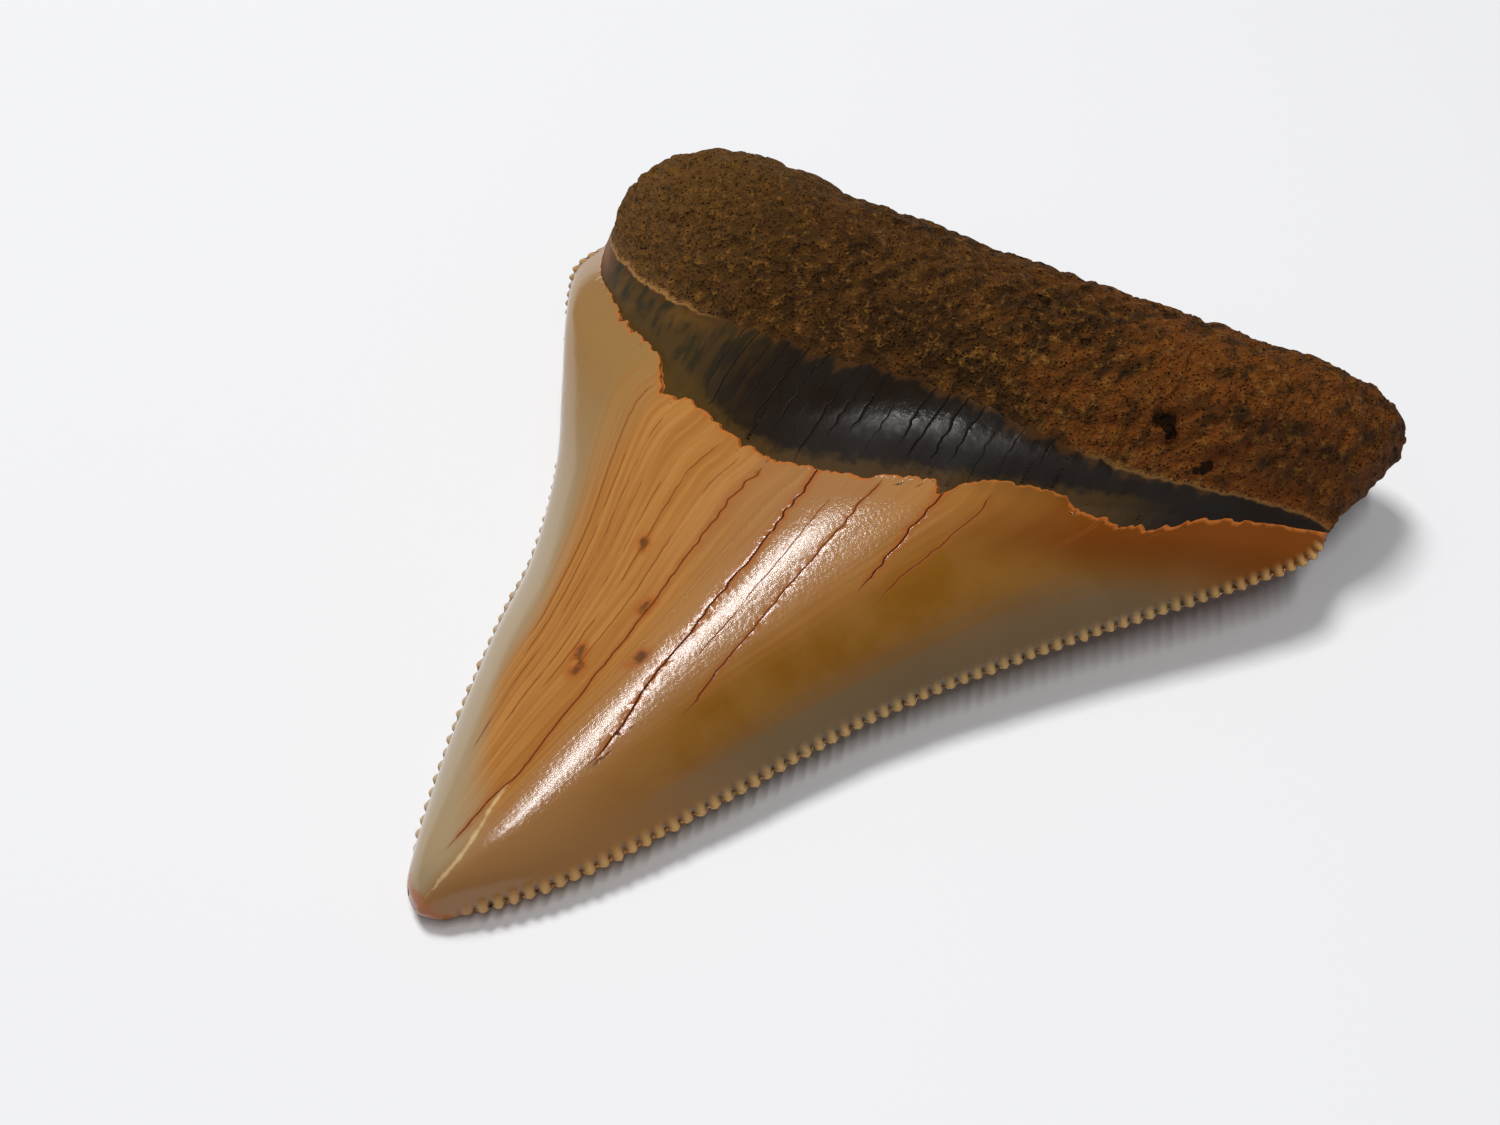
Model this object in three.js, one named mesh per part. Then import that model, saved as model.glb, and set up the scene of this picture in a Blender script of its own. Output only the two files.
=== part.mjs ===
// A fossil megalodon tooth, lying on its flat outer face with the inner face up.
// Millimetres, +Z up. The tip points to -Y, the root to +Y, and X runs across the two root lobes.
// Two patches of rows and columns share the enamel line: the crown, from the tip to that line, and
// the root, from that line to the back of the lobes. Each has an upper and a lower skin that meet
// all round the outline, in a serrated cutting edge on the crown and in a rounded side on the root.
// Rows are numbered 0 at the tip, 1 on the enamel line and 2 at the back. Columns run from 0 to 1.
import * as THREE from "three";
import { ImprovedNoise } from "three/addons/math/ImprovedNoise.js";

// Heights above the table
const ROOT_THICKNESS = 12.9; // to the top of the root
const CROWN_THICKNESS = 10.0; // to the crown's ridge at the enamel line
const TIP_THICKNESS = 2.2;
const TIP_EDGE_HEIGHT = 1.0; // to the cutting edge, at the tip and at the shoulders
const SHOULDER_EDGE_HEIGHT = 4.5;
const ROOT_EDGE_HEIGHT = 5.2; // to the widest line of the root

// Sizes of the surface's own features
const ENAMEL_THICKNESS = 0.4; // the enamel ends in a ledge this high
const ENAMEL_JAG = 0.5; // how far its broken rim wanders to either side of its line
const JAG_WIDTH = 2.2;
const SERRATION_PITCH = 0.78;
const SERRATION_HEIGHT = 0.32;
const LUMP_HEIGHT = 0.3;
const LUMP_WIDTH = 4.0;
const SMALL_LUMP_HEIGHT = 0.15;
const SMALL_LUMP_WIDTH = 1.8;
const BAND_SWELL = 0.35; // how far the band under the enamel bulges
const LOBE_SWELL = 1.15; // how far the larger root lobe stands above the root's crest
const LOBE_RADIUS = 5.5;
const PIT_DEPTH = 0.7;
const PIT_RADIUS = 1.0;

// Outline, seen from above: X and Y of the points that its curves pass through
const TIP_LINE = [[-12.8, -24.6], [-12.2, -25.7], [-11.1, -26.45], [-9.8, -26.2]];
const LEFT_EDGE = [
  [-12.8, -24.6], [-14.7, -17.7], [-16.1, -10.5], [-16.9, -4.5], [-19.2, 2.4], [-22.1, 8.1], [-24.7, 13.1],
  [-25.6, 15.8], [-24.9, 18.2],
];
const RIGHT_EDGE = [
  [-9.8, -26.2], [-5.5, -22.2], [-1.0, -16.1], [5.0, -7.3], [12.0, 0.4], [19.6, 7.8], [22.6, 11.1],
  [23.2, 13.4],
];
const ENAMEL_LINE = [
  [-24.9, 18.2], [-21.7, 12.4], [-14.0, 5.7], [-6.1, 0.4], [3.5, 3.1], [11.7, 6.7], [18.2, 10.5],
  [23.2, 13.4],
];
const LEFT_SIDE = [[-24.9, 18.2], [-25.0, 19.9], [-24.1, 22.5], [-21.9, 24.6]];
const RIGHT_SIDE = [[23.2, 13.4], [24.7, 17.5], [25.8, 20.7], [25.3, 22.6]];
const BACK = [
  [-21.9, 24.6], [-17.2, 26.8], [-12.6, 26.4], [-9.4, 25.5], [-3.8, 25.5], [8.6, 24.0], [18.4, 23.5],
  [23.2, 23.7], [25.3, 22.6],
];
const PIT = [13.6, 11.1];
const LARGER_LOBE = [-17.8, 19.5];

// Shape of the sections: a lens on the crown, a rounded block on the root
const RIDGE_COLUMN = 0.48; // where the ridge runs
const RIDGE_POWER = 0.72; // how early the ridge climbs from the tip
const LENS_POWER = 1.8;
const BLOCK_POWER = 3.3;
const BLOCK_ROW = 1.4; // the lens has turned into the block by this row
const CREST_ROW = 1.55; // the root is at its full thickness from this row
const TIP_ROUND_ROW = 0.07; // the upper skin closes on the tip before this row
const BACK_ROUND_ROW = 1.35; // and on the back after this one
const BACK_ROUND_POWER = 2.4;
const FLAT_SHARE = 0.36; // share of the half width that rests flat on the table
const BEVEL_POWER = 1.4; // how the lower skin rises to the cutting edge
const ROUND_POWER = 2.4; // and to the side of the root
const LOWER_ROUND_ROW = 1.35;
const LOWER_TIP_ROW = 0.1;
const LOWER_BACK_ROW = 1.6;
const BAND_SIDE_ROW = 1.1; // the smooth band under the enamel ends here at the sides
const BAND_MIDDLE_ROW = 1.28; // and here in the middle
const BAND_SPREAD = 0.19; // how wide its middle is
const LUMPY_ROWS = 0.1; // the root is lumpy from this far past the band

// Rows and columns of the facets
const CROWN_ROWS = 34;
const CROWN_ROW_POWER = 1.25; // rows are closer together near the tip
const ROOT_ROWS = 26;
const LEDGE_ROW = 1.02; // foot of the enamel's ledge
const JAG_ROWS = 0.07; // how far the rim's wandering reaches into both patches
const COLUMNS = 30;
const POINTS_PER_SERRATION = 4;
const SERRATED_FROM = 0.05; // the serrations fade out at both ends of a cutting edge
const SERRATED_TO = 0.97;

const noise = new ImprovedNoise();
const { lerp, smoothstep, clamp } = THREE.MathUtils;
const spline = (points) => new THREE.SplineCurve(points.map(([x, y]) => new THREE.Vector2(x, y)));
const curves = {
  tip: spline(TIP_LINE),
  left: spline(LEFT_EDGE),
  right: spline(RIGHT_EDGE),
  enamel: spline(ENAMEL_LINE),
  leftSide: spline(LEFT_SIDE),
  rightSide: spline(RIGHT_SIDE),
  back: spline(BACK),
};

// A quarter round that falls from 1 to 0 as its share goes from 0 to 1.
const quarterRound = (share, power) => Math.sqrt(1 - Math.pow(clamp(share, 0, 1), power));

// The wandering of the enamel's rim, which settles down towards both ends.
function enamelJag(column) {
  const settle = Math.min(1, 8 * Math.min(column, 1 - column));
  return ENAMEL_JAG * settle * noise.noise((column * curves.enamel.getLength()) / JAG_WIDTH, 2.3, 0.7);
}

// The plan position of a row and column: a patch stretched between its four boundary curves.
function planPoint(row, column) {
  const crown = row <= 1;
  const along = crown ? row : row - 1;
  const front = crown ? curves.tip : curves.enamel;
  const rear = crown ? curves.enamel : curves.back;
  const left = crown ? curves.left : curves.leftSide;
  const right = crown ? curves.right : curves.rightSide;
  const point = front.getPointAt(column).lerp(rear.getPointAt(column), along);
  const leftPull = left.getPointAt(along).sub(front.getPointAt(0).lerp(rear.getPointAt(0), along));
  const rightPull = right.getPointAt(along).sub(front.getPointAt(1).lerp(rear.getPointAt(1), along));
  point.addScaledVector(leftPull, 1 - column).addScaledVector(rightPull, column);
  point.y += enamelJag(column) * Math.max(0, 1 - Math.abs(row - 1) / JAG_ROWS);
  return point;
}

// Height of the outline above the table.
function edgeHeight(row) {
  const crownHeight = lerp(TIP_EDGE_HEIGHT, SHOULDER_EDGE_HEIGHT, Math.min(row, 1));
  return lerp(crownHeight, ROOT_EDGE_HEIGHT, smoothstep(row, 1, 2));
}

// Height of the ridge down the middle, before the ends are rounded off.
function ridgeHeight(row) {
  if (row <= 1) return lerp(TIP_THICKNESS, CROWN_THICKNESS, Math.pow(row, RIDGE_POWER));
  const climb = Math.sin((Math.PI / 2) * Math.min((row - 1) / (CREST_ROW - 1), 1));
  return lerp(CROWN_THICKNESS - ENAMEL_THICKNESS, ROOT_THICKNESS, climb);
}

// Distance from the ridge, 0 there and 1 at the outline.
function offRidge(column) {
  return column < RIDGE_COLUMN ? 1 - column / RIDGE_COLUMN : (column - RIDGE_COLUMN) / (1 - RIDGE_COLUMN);
}

// How full the upper skin is: 0 on the outline and 1 on the ridge.
function upperFullness(row, column) {
  const off = offRidge(column);
  const lens = 1 - Math.pow(off, LENS_POWER);
  const section = lerp(lens, quarterRound(off, BLOCK_POWER), smoothstep(row, 1, BLOCK_ROW));
  const tipEnd = quarterRound(1 - row / TIP_ROUND_ROW, 2);
  const backEnd = quarterRound((row - BACK_ROUND_ROW) / (2 - BACK_ROUND_ROW), BACK_ROUND_POWER);
  return section * tipEnd * backEnd;
}

// How full the lower skin is: 0 on the outline and 1 where it rests on the table.
function lowerFullness(row, column) {
  const side = clamp((offRidge(column) - FLAT_SHARE) / (1 - FLAT_SHARE), 0, 1);
  const roundness = smoothstep(row, 1, LOWER_ROUND_ROW);
  const section = lerp(1 - Math.pow(side, BEVEL_POWER), quarterRound(side, ROUND_POWER), roundness);
  const tipEnd = quarterRound(1 - row / LOWER_TIP_ROW, 2);
  const backEnd = quarterRound((row - LOWER_BACK_ROW) / (2 - LOWER_BACK_ROW), ROUND_POWER);
  return section * tipEnd * backEnd;
}

// The row where the smooth band under the enamel meets the rough root.
function bandRow(column) {
  const fromMiddle = (column - 0.5) / BAND_SPREAD;
  return lerp(BAND_SIDE_ROW, BAND_MIDDLE_ROW, Math.exp(-fromMiddle * fromMiddle));
}

// Lumps, the larger lobe's swell and the nutrient pit of the root's upper skin.
function rootRelief(point) {
  const lumps = LUMP_HEIGHT * noise.noise(point.x / LUMP_WIDTH, point.y / LUMP_WIDTH, 0.5);
  const small = SMALL_LUMP_HEIGHT * noise.noise(point.x / SMALL_LUMP_WIDTH, point.y / SMALL_LUMP_WIDTH, 7.5);
  const fromLobe = Math.hypot(point.x - LARGER_LOBE[0], point.y - LARGER_LOBE[1]) / LOBE_RADIUS;
  const fromPit = Math.hypot(point.x - PIT[0], point.y - PIT[1]) / PIT_RADIUS;
  const swell = LOBE_SWELL * Math.exp(-fromLobe * fromLobe);
  return lumps + small + swell - PIT_DEPTH * Math.exp(-fromPit * fromPit);
}

function upperPoint(row, column) {
  const plan = planPoint(row, column);
  const full = upperFullness(row, column);
  const bandEnd = bandRow(column);
  const bulge = BAND_SWELL * Math.sin(Math.PI * clamp((row - 1) / (bandEnd - 1), 0, 1));
  const relief = rootRelief(plan) * smoothstep(row, bandEnd, bandEnd + LUMPY_ROWS);
  const z = lerp(edgeHeight(row), ridgeHeight(row), full) + full * (bulge + relief);
  return new THREE.Vector3(plan.x, plan.y, z);
}

function lowerPoint(row, column) {
  const plan = planPoint(row, column);
  return new THREE.Vector3(plan.x, plan.y, edgeHeight(row) * (1 - lowerFullness(row, column)));
}

// The outline's points along one side, from the tip to the back, with the serrations pushed out.
function sidePoints(edge, column, rows) {
  const steps = Math.round(edge.getLength() / SERRATION_PITCH) * POINTS_PER_SERRATION;
  const outward = column === 0 ? -1 : 1;
  const points = [];
  for (let step = 0; step <= steps; step += 1) {
    const row = step / steps;
    const point = edge.getPointAt(row);
    const tangent = edge.getTangentAt(row);
    const fade = smoothstep(row, 0, SERRATED_FROM) * (1 - smoothstep(row, SERRATED_TO, 1));
    const bead = Math.abs(Math.sin((Math.PI * step) / POINTS_PER_SERRATION));
    const push = outward * fade * SERRATION_HEIGHT * bead;
    const at = new THREE.Vector3(point.x + tangent.y * push, point.y - tangent.x * push, edgeHeight(row));
    points.push({ row, at });
  }
  for (const row of rows.filter((value) => value > 1)) points.push({ row, at: upperPoint(row, column) });
  return points;
}

// Row numbers, with a narrow row for the enamel's ledge.
function rowNumbers() {
  const rows = [];
  for (let i = 0; i <= CROWN_ROWS; i += 1) rows.push(Math.pow(i / CROWN_ROWS, CROWN_ROW_POWER));
  for (let i = 0; i <= ROOT_ROWS; i += 1) {
    rows.push(lerp(LEDGE_ROW, 2, Math.sin((Math.PI * i) / (2 * ROOT_ROWS))));
  }
  return rows;
}

// Column numbers, closer together towards both sides.
function columnNumbers() {
  const even = Array.from({ length: COLUMNS + 1 }, (_, i) => i / COLUMNS);
  return even.map((share) => 0.5 * share + 0.25 * (1 - Math.cos(Math.PI * share)));
}

function toothGeometry() {
  const rows = rowNumbers();
  const last = rows.length - 1;
  const inner = columnNumbers().slice(1, -1);
  const positions = [];
  const triangles = [];
  const add = (point) => positions.push(point.x, point.y, point.z) / 3 - 1;
  const face = (a, b, c, up) => triangles.push(...(up ? [a, b, c] : [a, c, b]));

  // Fills the strip between two lines of points whose spacing differs.
  function zip(near, far, up) {
    let a = 0;
    let b = 0;
    while (a < near.length - 1 || b < far.length - 1) {
      const stepFar = b < far.length - 1 && (a === near.length - 1 || far[b + 1].row <= near[a + 1].row);
      if (stepFar) {
        face(near[a].index, far[b + 1].index, far[b].index, up);
        b += 1;
      } else {
        face(near[a].index, near[a + 1].index, far[b].index, up);
        a += 1;
      }
    }
  }

  // Both skins share the points of the outline.
  const left = sidePoints(curves.left, 0, rows).map(({ row, at }) => ({ row, index: add(at) }));
  const right = sidePoints(curves.right, 1, rows).map(({ row, at }) => ({ row, index: add(at) }));
  const tipRim = inner.map((column) => add(upperPoint(0, column)));
  const backRim = inner.map((column) => add(upperPoint(2, column)));

  for (const [skinPoint, up] of [[upperPoint, true], [lowerPoint, false]]) {
    const between = rows.slice(1, -1).map((row) => inner.map((column) => add(skinPoint(row, column))));
    const grid = [tipRim, ...between, backRim];
    for (let i = 0; i < last; i += 1) {
      for (let j = 0; j + 1 < inner.length; j += 1) {
        face(grid[i][j], grid[i][j + 1], grid[i + 1][j + 1], up);
        face(grid[i][j], grid[i + 1][j + 1], grid[i + 1][j], up);
      }
    }
    const line = (j) => rows.map((row, i) => ({ row, index: grid[i].at(j) }));
    zip(line(0), left, up);
    zip(line(-1), right, !up);
  }

  const geometry = new THREE.BufferGeometry();
  geometry.setAttribute("position", new THREE.Float32BufferAttribute(positions, 3));
  geometry.setIndex(triangles);
  geometry.computeVertexNormals();
  return geometry;
}

// The origin is on the table, under the middle of the outline.
function centreOnTable(geometry) {
  geometry.computeBoundingBox();
  const middle = geometry.boundingBox.getCenter(new THREE.Vector3());
  return geometry.translate(-middle.x, -middle.y, -geometry.boundingBox.min.z);
}

const fossil = new THREE.MeshStandardMaterial({ color: 0x8a6238, roughness: 0.45, metalness: 0 });
const tooth = new THREE.Mesh(centreOnTable(toothGeometry()), fossil);
tooth.name = "tooth";

const part = new THREE.Group();
part.add(tooth);

export default part;
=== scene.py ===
"""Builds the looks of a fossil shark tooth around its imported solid.

The tooth is one closed skin that follows the solid's own rules. It is meshed finely where the serrations,
the cracks and the broken rim of the enamel need it. Geometry Nodes raise the serrations and roughen the root.
Sizes are in millimetres until a mesh is made, and Blender's objects are in metres.

Places on the tooth are given by column and row. Columns run from 0 at the left outline to 1 at the right one.
Rows run from 0 at the tip to 1 on the enamel's rim and 2 at the back of the root.
"""

import logging
import math
from dataclasses import dataclass, field
from enum import Enum, IntEnum
from typing import Any

import bpy
import numpy as np
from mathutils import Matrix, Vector

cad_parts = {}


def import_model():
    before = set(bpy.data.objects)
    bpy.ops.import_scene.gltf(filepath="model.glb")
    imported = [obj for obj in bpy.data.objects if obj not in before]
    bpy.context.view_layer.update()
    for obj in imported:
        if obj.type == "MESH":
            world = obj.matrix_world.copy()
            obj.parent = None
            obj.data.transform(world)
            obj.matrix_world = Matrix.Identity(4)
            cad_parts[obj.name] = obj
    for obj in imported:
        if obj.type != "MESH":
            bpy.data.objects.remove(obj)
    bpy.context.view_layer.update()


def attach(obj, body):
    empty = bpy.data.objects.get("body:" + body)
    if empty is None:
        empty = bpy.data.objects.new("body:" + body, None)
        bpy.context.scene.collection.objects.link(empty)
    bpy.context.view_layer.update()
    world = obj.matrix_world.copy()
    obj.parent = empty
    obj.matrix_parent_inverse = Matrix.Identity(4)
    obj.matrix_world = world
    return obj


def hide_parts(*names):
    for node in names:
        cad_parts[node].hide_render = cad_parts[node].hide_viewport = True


Colour = tuple[int, int, int]
Points = tuple[tuple[float, float], ...]

METRES = 0.001
IMAGE_WIDTH = 1500
LOG = logging.getLogger("tooth")


class Side(IntEnum):
    """The skin that a point of the mesh belongs to."""

    LOWER = -1
    OUTLINE = 0
    UPPER = 1


class Zone(IntEnum):
    """The three surfaces of the tooth, in the order of its material slots."""

    ENAMEL = 0
    BAND = 1
    ROOT = 2


class Mark(Enum):
    """Values that the mesh carries at each point, for the node trees to read."""

    EDGE_RUN = "edge_run"
    EDGE_GAP = "edge_gap"
    EDGE_FADE = "edge_fade"
    SIDE = "side"
    ROUGH = "rough"
    CRACK_GAP = "crack_gap"
    CRACK_GAIN = "crack_gain"
    SPECK = "speck"
    FLAKE = "flake"
    PIT = "pit"
    RIM_GAP = "rim_gap"
    BAND_GAP = "band_gap"


EDGE_OUT = "edge_out"
ZONE = "zone"
RIB_CREST = "rib_crest"
RIB_GAP = "rib_gap"
PLACE_MAP = "column_row"
LEAN_COLUMN = 0.475
LEAN = 0.35


def smoothstep(value: np.ndarray, low: float, high: float) -> np.ndarray:
    """Eases from 0 at low to 1 at high."""
    share = np.clip((value - low) / (high - low), 0.0, 1.0)
    return share * share * (3.0 - 2.0 * share)


def quarter_round(share: np.ndarray, power: float) -> np.ndarray:
    """Falls from 1 to 0 in a quarter round as the share goes from 0 to 1."""
    return np.sqrt(1.0 - np.clip(share, 0.0, 1.0) ** power)


def mix(low: Any, high: Any, share: Any) -> Any:
    """Goes from low to high as the share goes from 0 to 1."""
    return low + (high - low) * share


def ripple(along: np.ndarray, width: float, seed: int) -> np.ndarray:
    """Makes smooth seeded noise along a line.

    Args:
        along: Places on the line.
        width: Distance between the noise's turning points.
        seed: Seed of the noise.

    Returns:
        Values from -1 to 1.
    """
    knots = np.random.default_rng(seed).uniform(-1.0, 1.0, 1024)
    cell = np.floor(along / width).astype(int)
    share = smoothstep(along / width - cell, 0.0, 1.0)
    return mix(knots[cell % 1024], knots[(cell + 1) % 1024], share)


@dataclass
class PlanCurve:
    """A smooth curve through a few points, read by its share of the length."""

    points: Points
    samples: int = 1600
    line: np.ndarray = field(init=False, repr=False)
    shares: np.ndarray = field(init=False, repr=False)
    length: float = field(init=False)

    def __post_init__(self) -> None:
        """Samples the curve once."""
        knots = np.array(self.points, float)
        last = len(knots) - 1
        at = np.linspace(0.0, last, self.samples)
        start = np.minimum(at.astype(int), last - 1)
        share = (at - start)[:, None]
        before, here = knots[np.maximum(start - 1, 0)], knots[start]
        there, after = knots[start + 1], knots[np.minimum(start + 2, last)]
        leave, arrive = (there - before) / 2.0, (after - here) / 2.0
        cubic = 2.0 * here - 2.0 * there + leave + arrive
        square = -3.0 * here + 3.0 * there - 2.0 * leave - arrive
        self.line = cubic * share**3 + square * share**2 + leave * share + here
        run = np.concatenate([[0.0], np.cumsum(np.linalg.norm(np.diff(self.line, axis=0), axis=1))])
        self.length = float(run[-1])
        self.shares = run / run[-1]

    def at(self, share: np.ndarray) -> np.ndarray:
        """Gives the points at these shares of the length."""
        x = np.interp(share, self.shares, self.line[:, 0])
        y = np.interp(share, self.shares, self.line[:, 1])
        return np.stack([x, y], axis=-1)

    def height(self, x: np.ndarray) -> np.ndarray:
        """Reads a curve that never turns back as a function of its first coordinate."""
        return np.interp(x, self.line[:, 0], self.line[:, 1])

    def nearest(self, plan: np.ndarray) -> tuple[np.ndarray, np.ndarray, np.ndarray]:
        """Finds the nearest place on the curve.

        Args:
            plan: Points, one a row.

        Returns:
            The share of the length, the distance and the unit tangent at each point's nearest place.
        """
        nearest = np.empty(len(plan), int)
        for start in range(0, len(plan), 2000):
            part = plan[start : start + 2000]
            apart = ((part[:, None, :] - self.line[None, :, :]) ** 2).sum(axis=2)
            nearest[start : start + 2000] = apart.argmin(axis=1)
        tangent = np.gradient(self.line, axis=0)
        tangent /= np.linalg.norm(tangent, axis=1)[:, None]
        gap = np.linalg.norm(plan - self.line[nearest], axis=1)
        return self.shares[nearest], gap, tangent[nearest]


@dataclass
class Crack:
    """A crack that runs along the tooth, through some rows and columns."""

    path: Points
    first_row: float
    last_row: float
    gain: float = 1.0
    seed: int = 0

    def column(self, row: np.ndarray) -> np.ndarray:
        """Gives the crack's column at these rows."""
        rows, columns = np.array(self.path).T
        along = row * 30.0
        wander = 0.0016 * ripple(along, 0.5, self.seed) + 0.0014 * ripple(along, 1.9, self.seed + 1)
        return np.interp(row, rows, columns) + wander * min(1.0, 1.5 * self.gain)

    def strength(self, row: np.ndarray) -> np.ndarray:
        """Gives how open the crack is at these rows."""
        opening = smoothstep(row, self.first_row, self.first_row + 0.05)
        return self.gain * opening * (1.0 - smoothstep(row, self.last_row - 0.02, self.last_row))


@dataclass
class ToothForm:
    """The shape of the tooth, by the same rules and values as its solid."""

    root_thickness: float = 12.9
    crown_thickness: float = 10.0
    tip_thickness: float = 2.2
    tip_edge_height: float = 1.0
    shoulder_edge_height: float = 4.5
    root_edge_height: float = 5.2
    enamel_thickness: float = 0.4
    band_swell: float = 0.35
    lobe_swell: float = 1.15
    lobe_radius: float = 5.5
    larger_lobe: tuple[float, float] = (-17.8, 19.5)
    ridge_column: float = 0.48
    ridge_power: float = 0.72
    lens_power: float = 1.8
    block_power: float = 3.3
    block_row: float = 1.4
    crest_row: float = 1.55
    tip_round_row: float = 0.07
    back_round_row: float = 1.35
    back_round_power: float = 2.4
    flat_share: float = 0.36
    bevel_power: float = 1.4
    round_power: float = 2.4
    lower_round_row: float = 1.35
    lower_tip_row: float = 0.1
    lower_back_row: float = 1.6
    band_course: float = 1.2
    ledge_course: float = 1.008
    centring: tuple[float, float] = (0.0466, -0.1996)
    tip_line: Points = ((-12.8, -24.6), (-12.2, -25.7), (-11.1, -26.45), (-9.8, -26.2))
    left_edge: Points = (
        (-12.8, -24.6), (-14.7, -17.7), (-16.1, -10.5), (-16.9, -4.5), (-19.2, 2.4), (-22.1, 8.1),
        (-24.7, 13.1), (-25.6, 15.8), (-24.9, 18.2),
    )
    right_edge: Points = (
        (-9.8, -26.2), (-5.5, -22.2), (-1.0, -16.1), (5.0, -7.3), (12.0, 0.4), (19.6, 7.8), (22.6, 11.1),
        (23.2, 13.4),
    )
    enamel_line: Points = (
        (-24.9, 18.2), (-21.7, 12.4), (-14.0, 5.7), (-6.1, 0.4), (3.5, 3.1), (11.7, 6.7), (18.2, 10.5),
        (23.2, 13.4),
    )
    left_side: Points = ((-24.9, 18.2), (-25.0, 19.9), (-24.1, 22.5), (-21.9, 24.6))
    right_side: Points = ((23.2, 13.4), (24.7, 17.5), (25.8, 20.7), (25.3, 22.6))
    back: Points = (
        (-21.9, 24.6), (-17.2, 26.8), (-12.6, 26.4), (-9.4, 25.5), (-3.8, 25.5), (8.6, 24.0), (18.4, 23.5),
        (23.2, 23.7), (25.3, 22.6),
    )
    rim_line: Points = (
        (0.0, 0.0), (0.12, 0.01), (0.2, -0.006), (0.27, 0.006), (0.31, -0.03), (0.335, -0.022), (0.36, 0.002),
        (0.42, 0.012), (0.5, 0.004), (0.56, 0.0), (0.615, 0.008), (0.632, -0.02), (0.65, 0.016),
        (0.69, 0.032),
        (0.725, 0.028), (0.745, 0.0), (0.78, -0.028), (0.84, -0.028), (0.87, -0.01), (0.92, 0.0), (1.0, 0.0),
    )
    band_line: Points = (
        (0.0, 1.13), (0.1, 1.13), (0.2, 1.13), (0.3, 1.18), (0.4, 1.245), (0.5, 1.28), (0.6, 1.235),
        (0.7, 1.17), (0.8, 1.12), (0.9, 1.1), (0.97, 1.08), (1.0, 1.03),
    )

    def __post_init__(self) -> None:
        """Makes the curves that the skin is stretched between."""
        self.tip_curve = PlanCurve(self.tip_line)
        self.left_curve = PlanCurve(self.left_edge)
        self.right_curve = PlanCurve(self.right_edge)
        self.enamel_curve = PlanCurve(self.enamel_line)
        self.left_side_curve = PlanCurve(self.left_side)
        self.right_side_curve = PlanCurve(self.right_side)
        self.back_curve = PlanCurve(self.back)
        self.rim_curve = PlanCurve(self.rim_line)
        self.band_curve = PlanCurve(self.band_line)

    def rim(self, column: np.ndarray) -> np.ndarray:
        """Gives how many rows the broken rim of the enamel is off its line."""
        along = column * self.enamel_curve.length
        settle = np.minimum(1.0, 12.0 * np.minimum(column, 1.0 - column))
        chips = 0.007 * ripple(along, 0.55, 3) + 0.004 * ripple(along, 0.2, 4)
        return self.rim_curve.height(column) + settle * chips

    def band_row(self, column: np.ndarray) -> np.ndarray:
        """Gives the row where the band under the enamel ends."""
        along = column * self.enamel_curve.length
        settle = np.minimum(1.0, 12.0 * np.minimum(column, 1.0 - column))
        wave = 0.005 * ripple(along, 0.9, 5) + 0.004 * ripple(along, 0.3, 6)
        return self.band_curve.height(column) + settle * wave

    def row_of(self, course: np.ndarray, column: np.ndarray, side: np.ndarray) -> np.ndarray:
        """Turns the mesh's courses into rows.

        On the upper skin course 1 follows the enamel's broken rim, and the band course follows the end of the
        band.

        Args:
            course: Courses, from 0 at the tip to 2 at the back.
            column: Columns.
            side: The skin of each place.

        Returns:
            The rows of these places.
        """
        rim = 1.0 + np.where(side < 0.0, 0.0, self.rim(column))
        under_band = mix(self.band_line[0][1], self.band_line[-1][1], column)
        band = np.where(side < 0.0, under_band, self.band_row(column))
        crown = course + (rim - 1.0) * smoothstep(course, 0.9, 1.0)
        within = mix(rim, band, np.clip((course - 1.0) / (self.band_course - 1.0), 0.0, 1.0))
        beyond = mix(band, 2.0, (course - self.band_course) / (2.0 - self.band_course))
        return np.where(course <= 1.0, crown, np.where(course <= self.band_course, within, beyond))

    def plan(self, row: np.ndarray, column: np.ndarray) -> np.ndarray:
        """Gives the plan position of rows and columns.

        Args:
            row: Rows.
            column: Columns.

        Returns:
            Points, one a row, before the tooth is centred.
        """
        crown = self._patch(
            np.minimum(row, 1.0), column, self.tip_curve, self.enamel_curve, self.left_curve, self.right_curve
        )
        root = self._patch(
            np.maximum(row - 1.0, 0.0), column, self.enamel_curve, self.back_curve, self.left_side_curve,
            self.right_side_curve,
        )
        return np.where((row <= 1.0)[:, None], crown, root)

    @staticmethod
    def _patch(
        along: np.ndarray, column: np.ndarray, front: PlanCurve, rear: PlanCurve, left: PlanCurve,
        right: PlanCurve,
    ) -> np.ndarray:
        """Stretches a patch between four curves.

        Args:
            along: Share of the way from the front curve to the rear one.
            column: Share of the way from the left curve to the right one.
            front: Curve at the start.
            rear: Curve at the end.
            left: Curve of the left side.
            right: Curve of the right side.

        Returns:
            Points, one a row.
        """
        share, across = along[:, None], column[:, None]
        point = mix(front.at(column), rear.at(column), share)
        left_pull = left.at(along) - mix(front.line[0], rear.line[0], share)
        right_pull = right.at(along) - mix(front.line[-1], rear.line[-1], share)
        return point + left_pull * (1.0 - across) + right_pull * across

    def edge_height(self, row: np.ndarray) -> np.ndarray:
        """Gives the height of the outline above the table."""
        crown = mix(self.tip_edge_height, self.shoulder_edge_height, np.minimum(row, 1.0))
        return mix(crown, self.root_edge_height, smoothstep(row, 1.0, 2.0))

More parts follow.
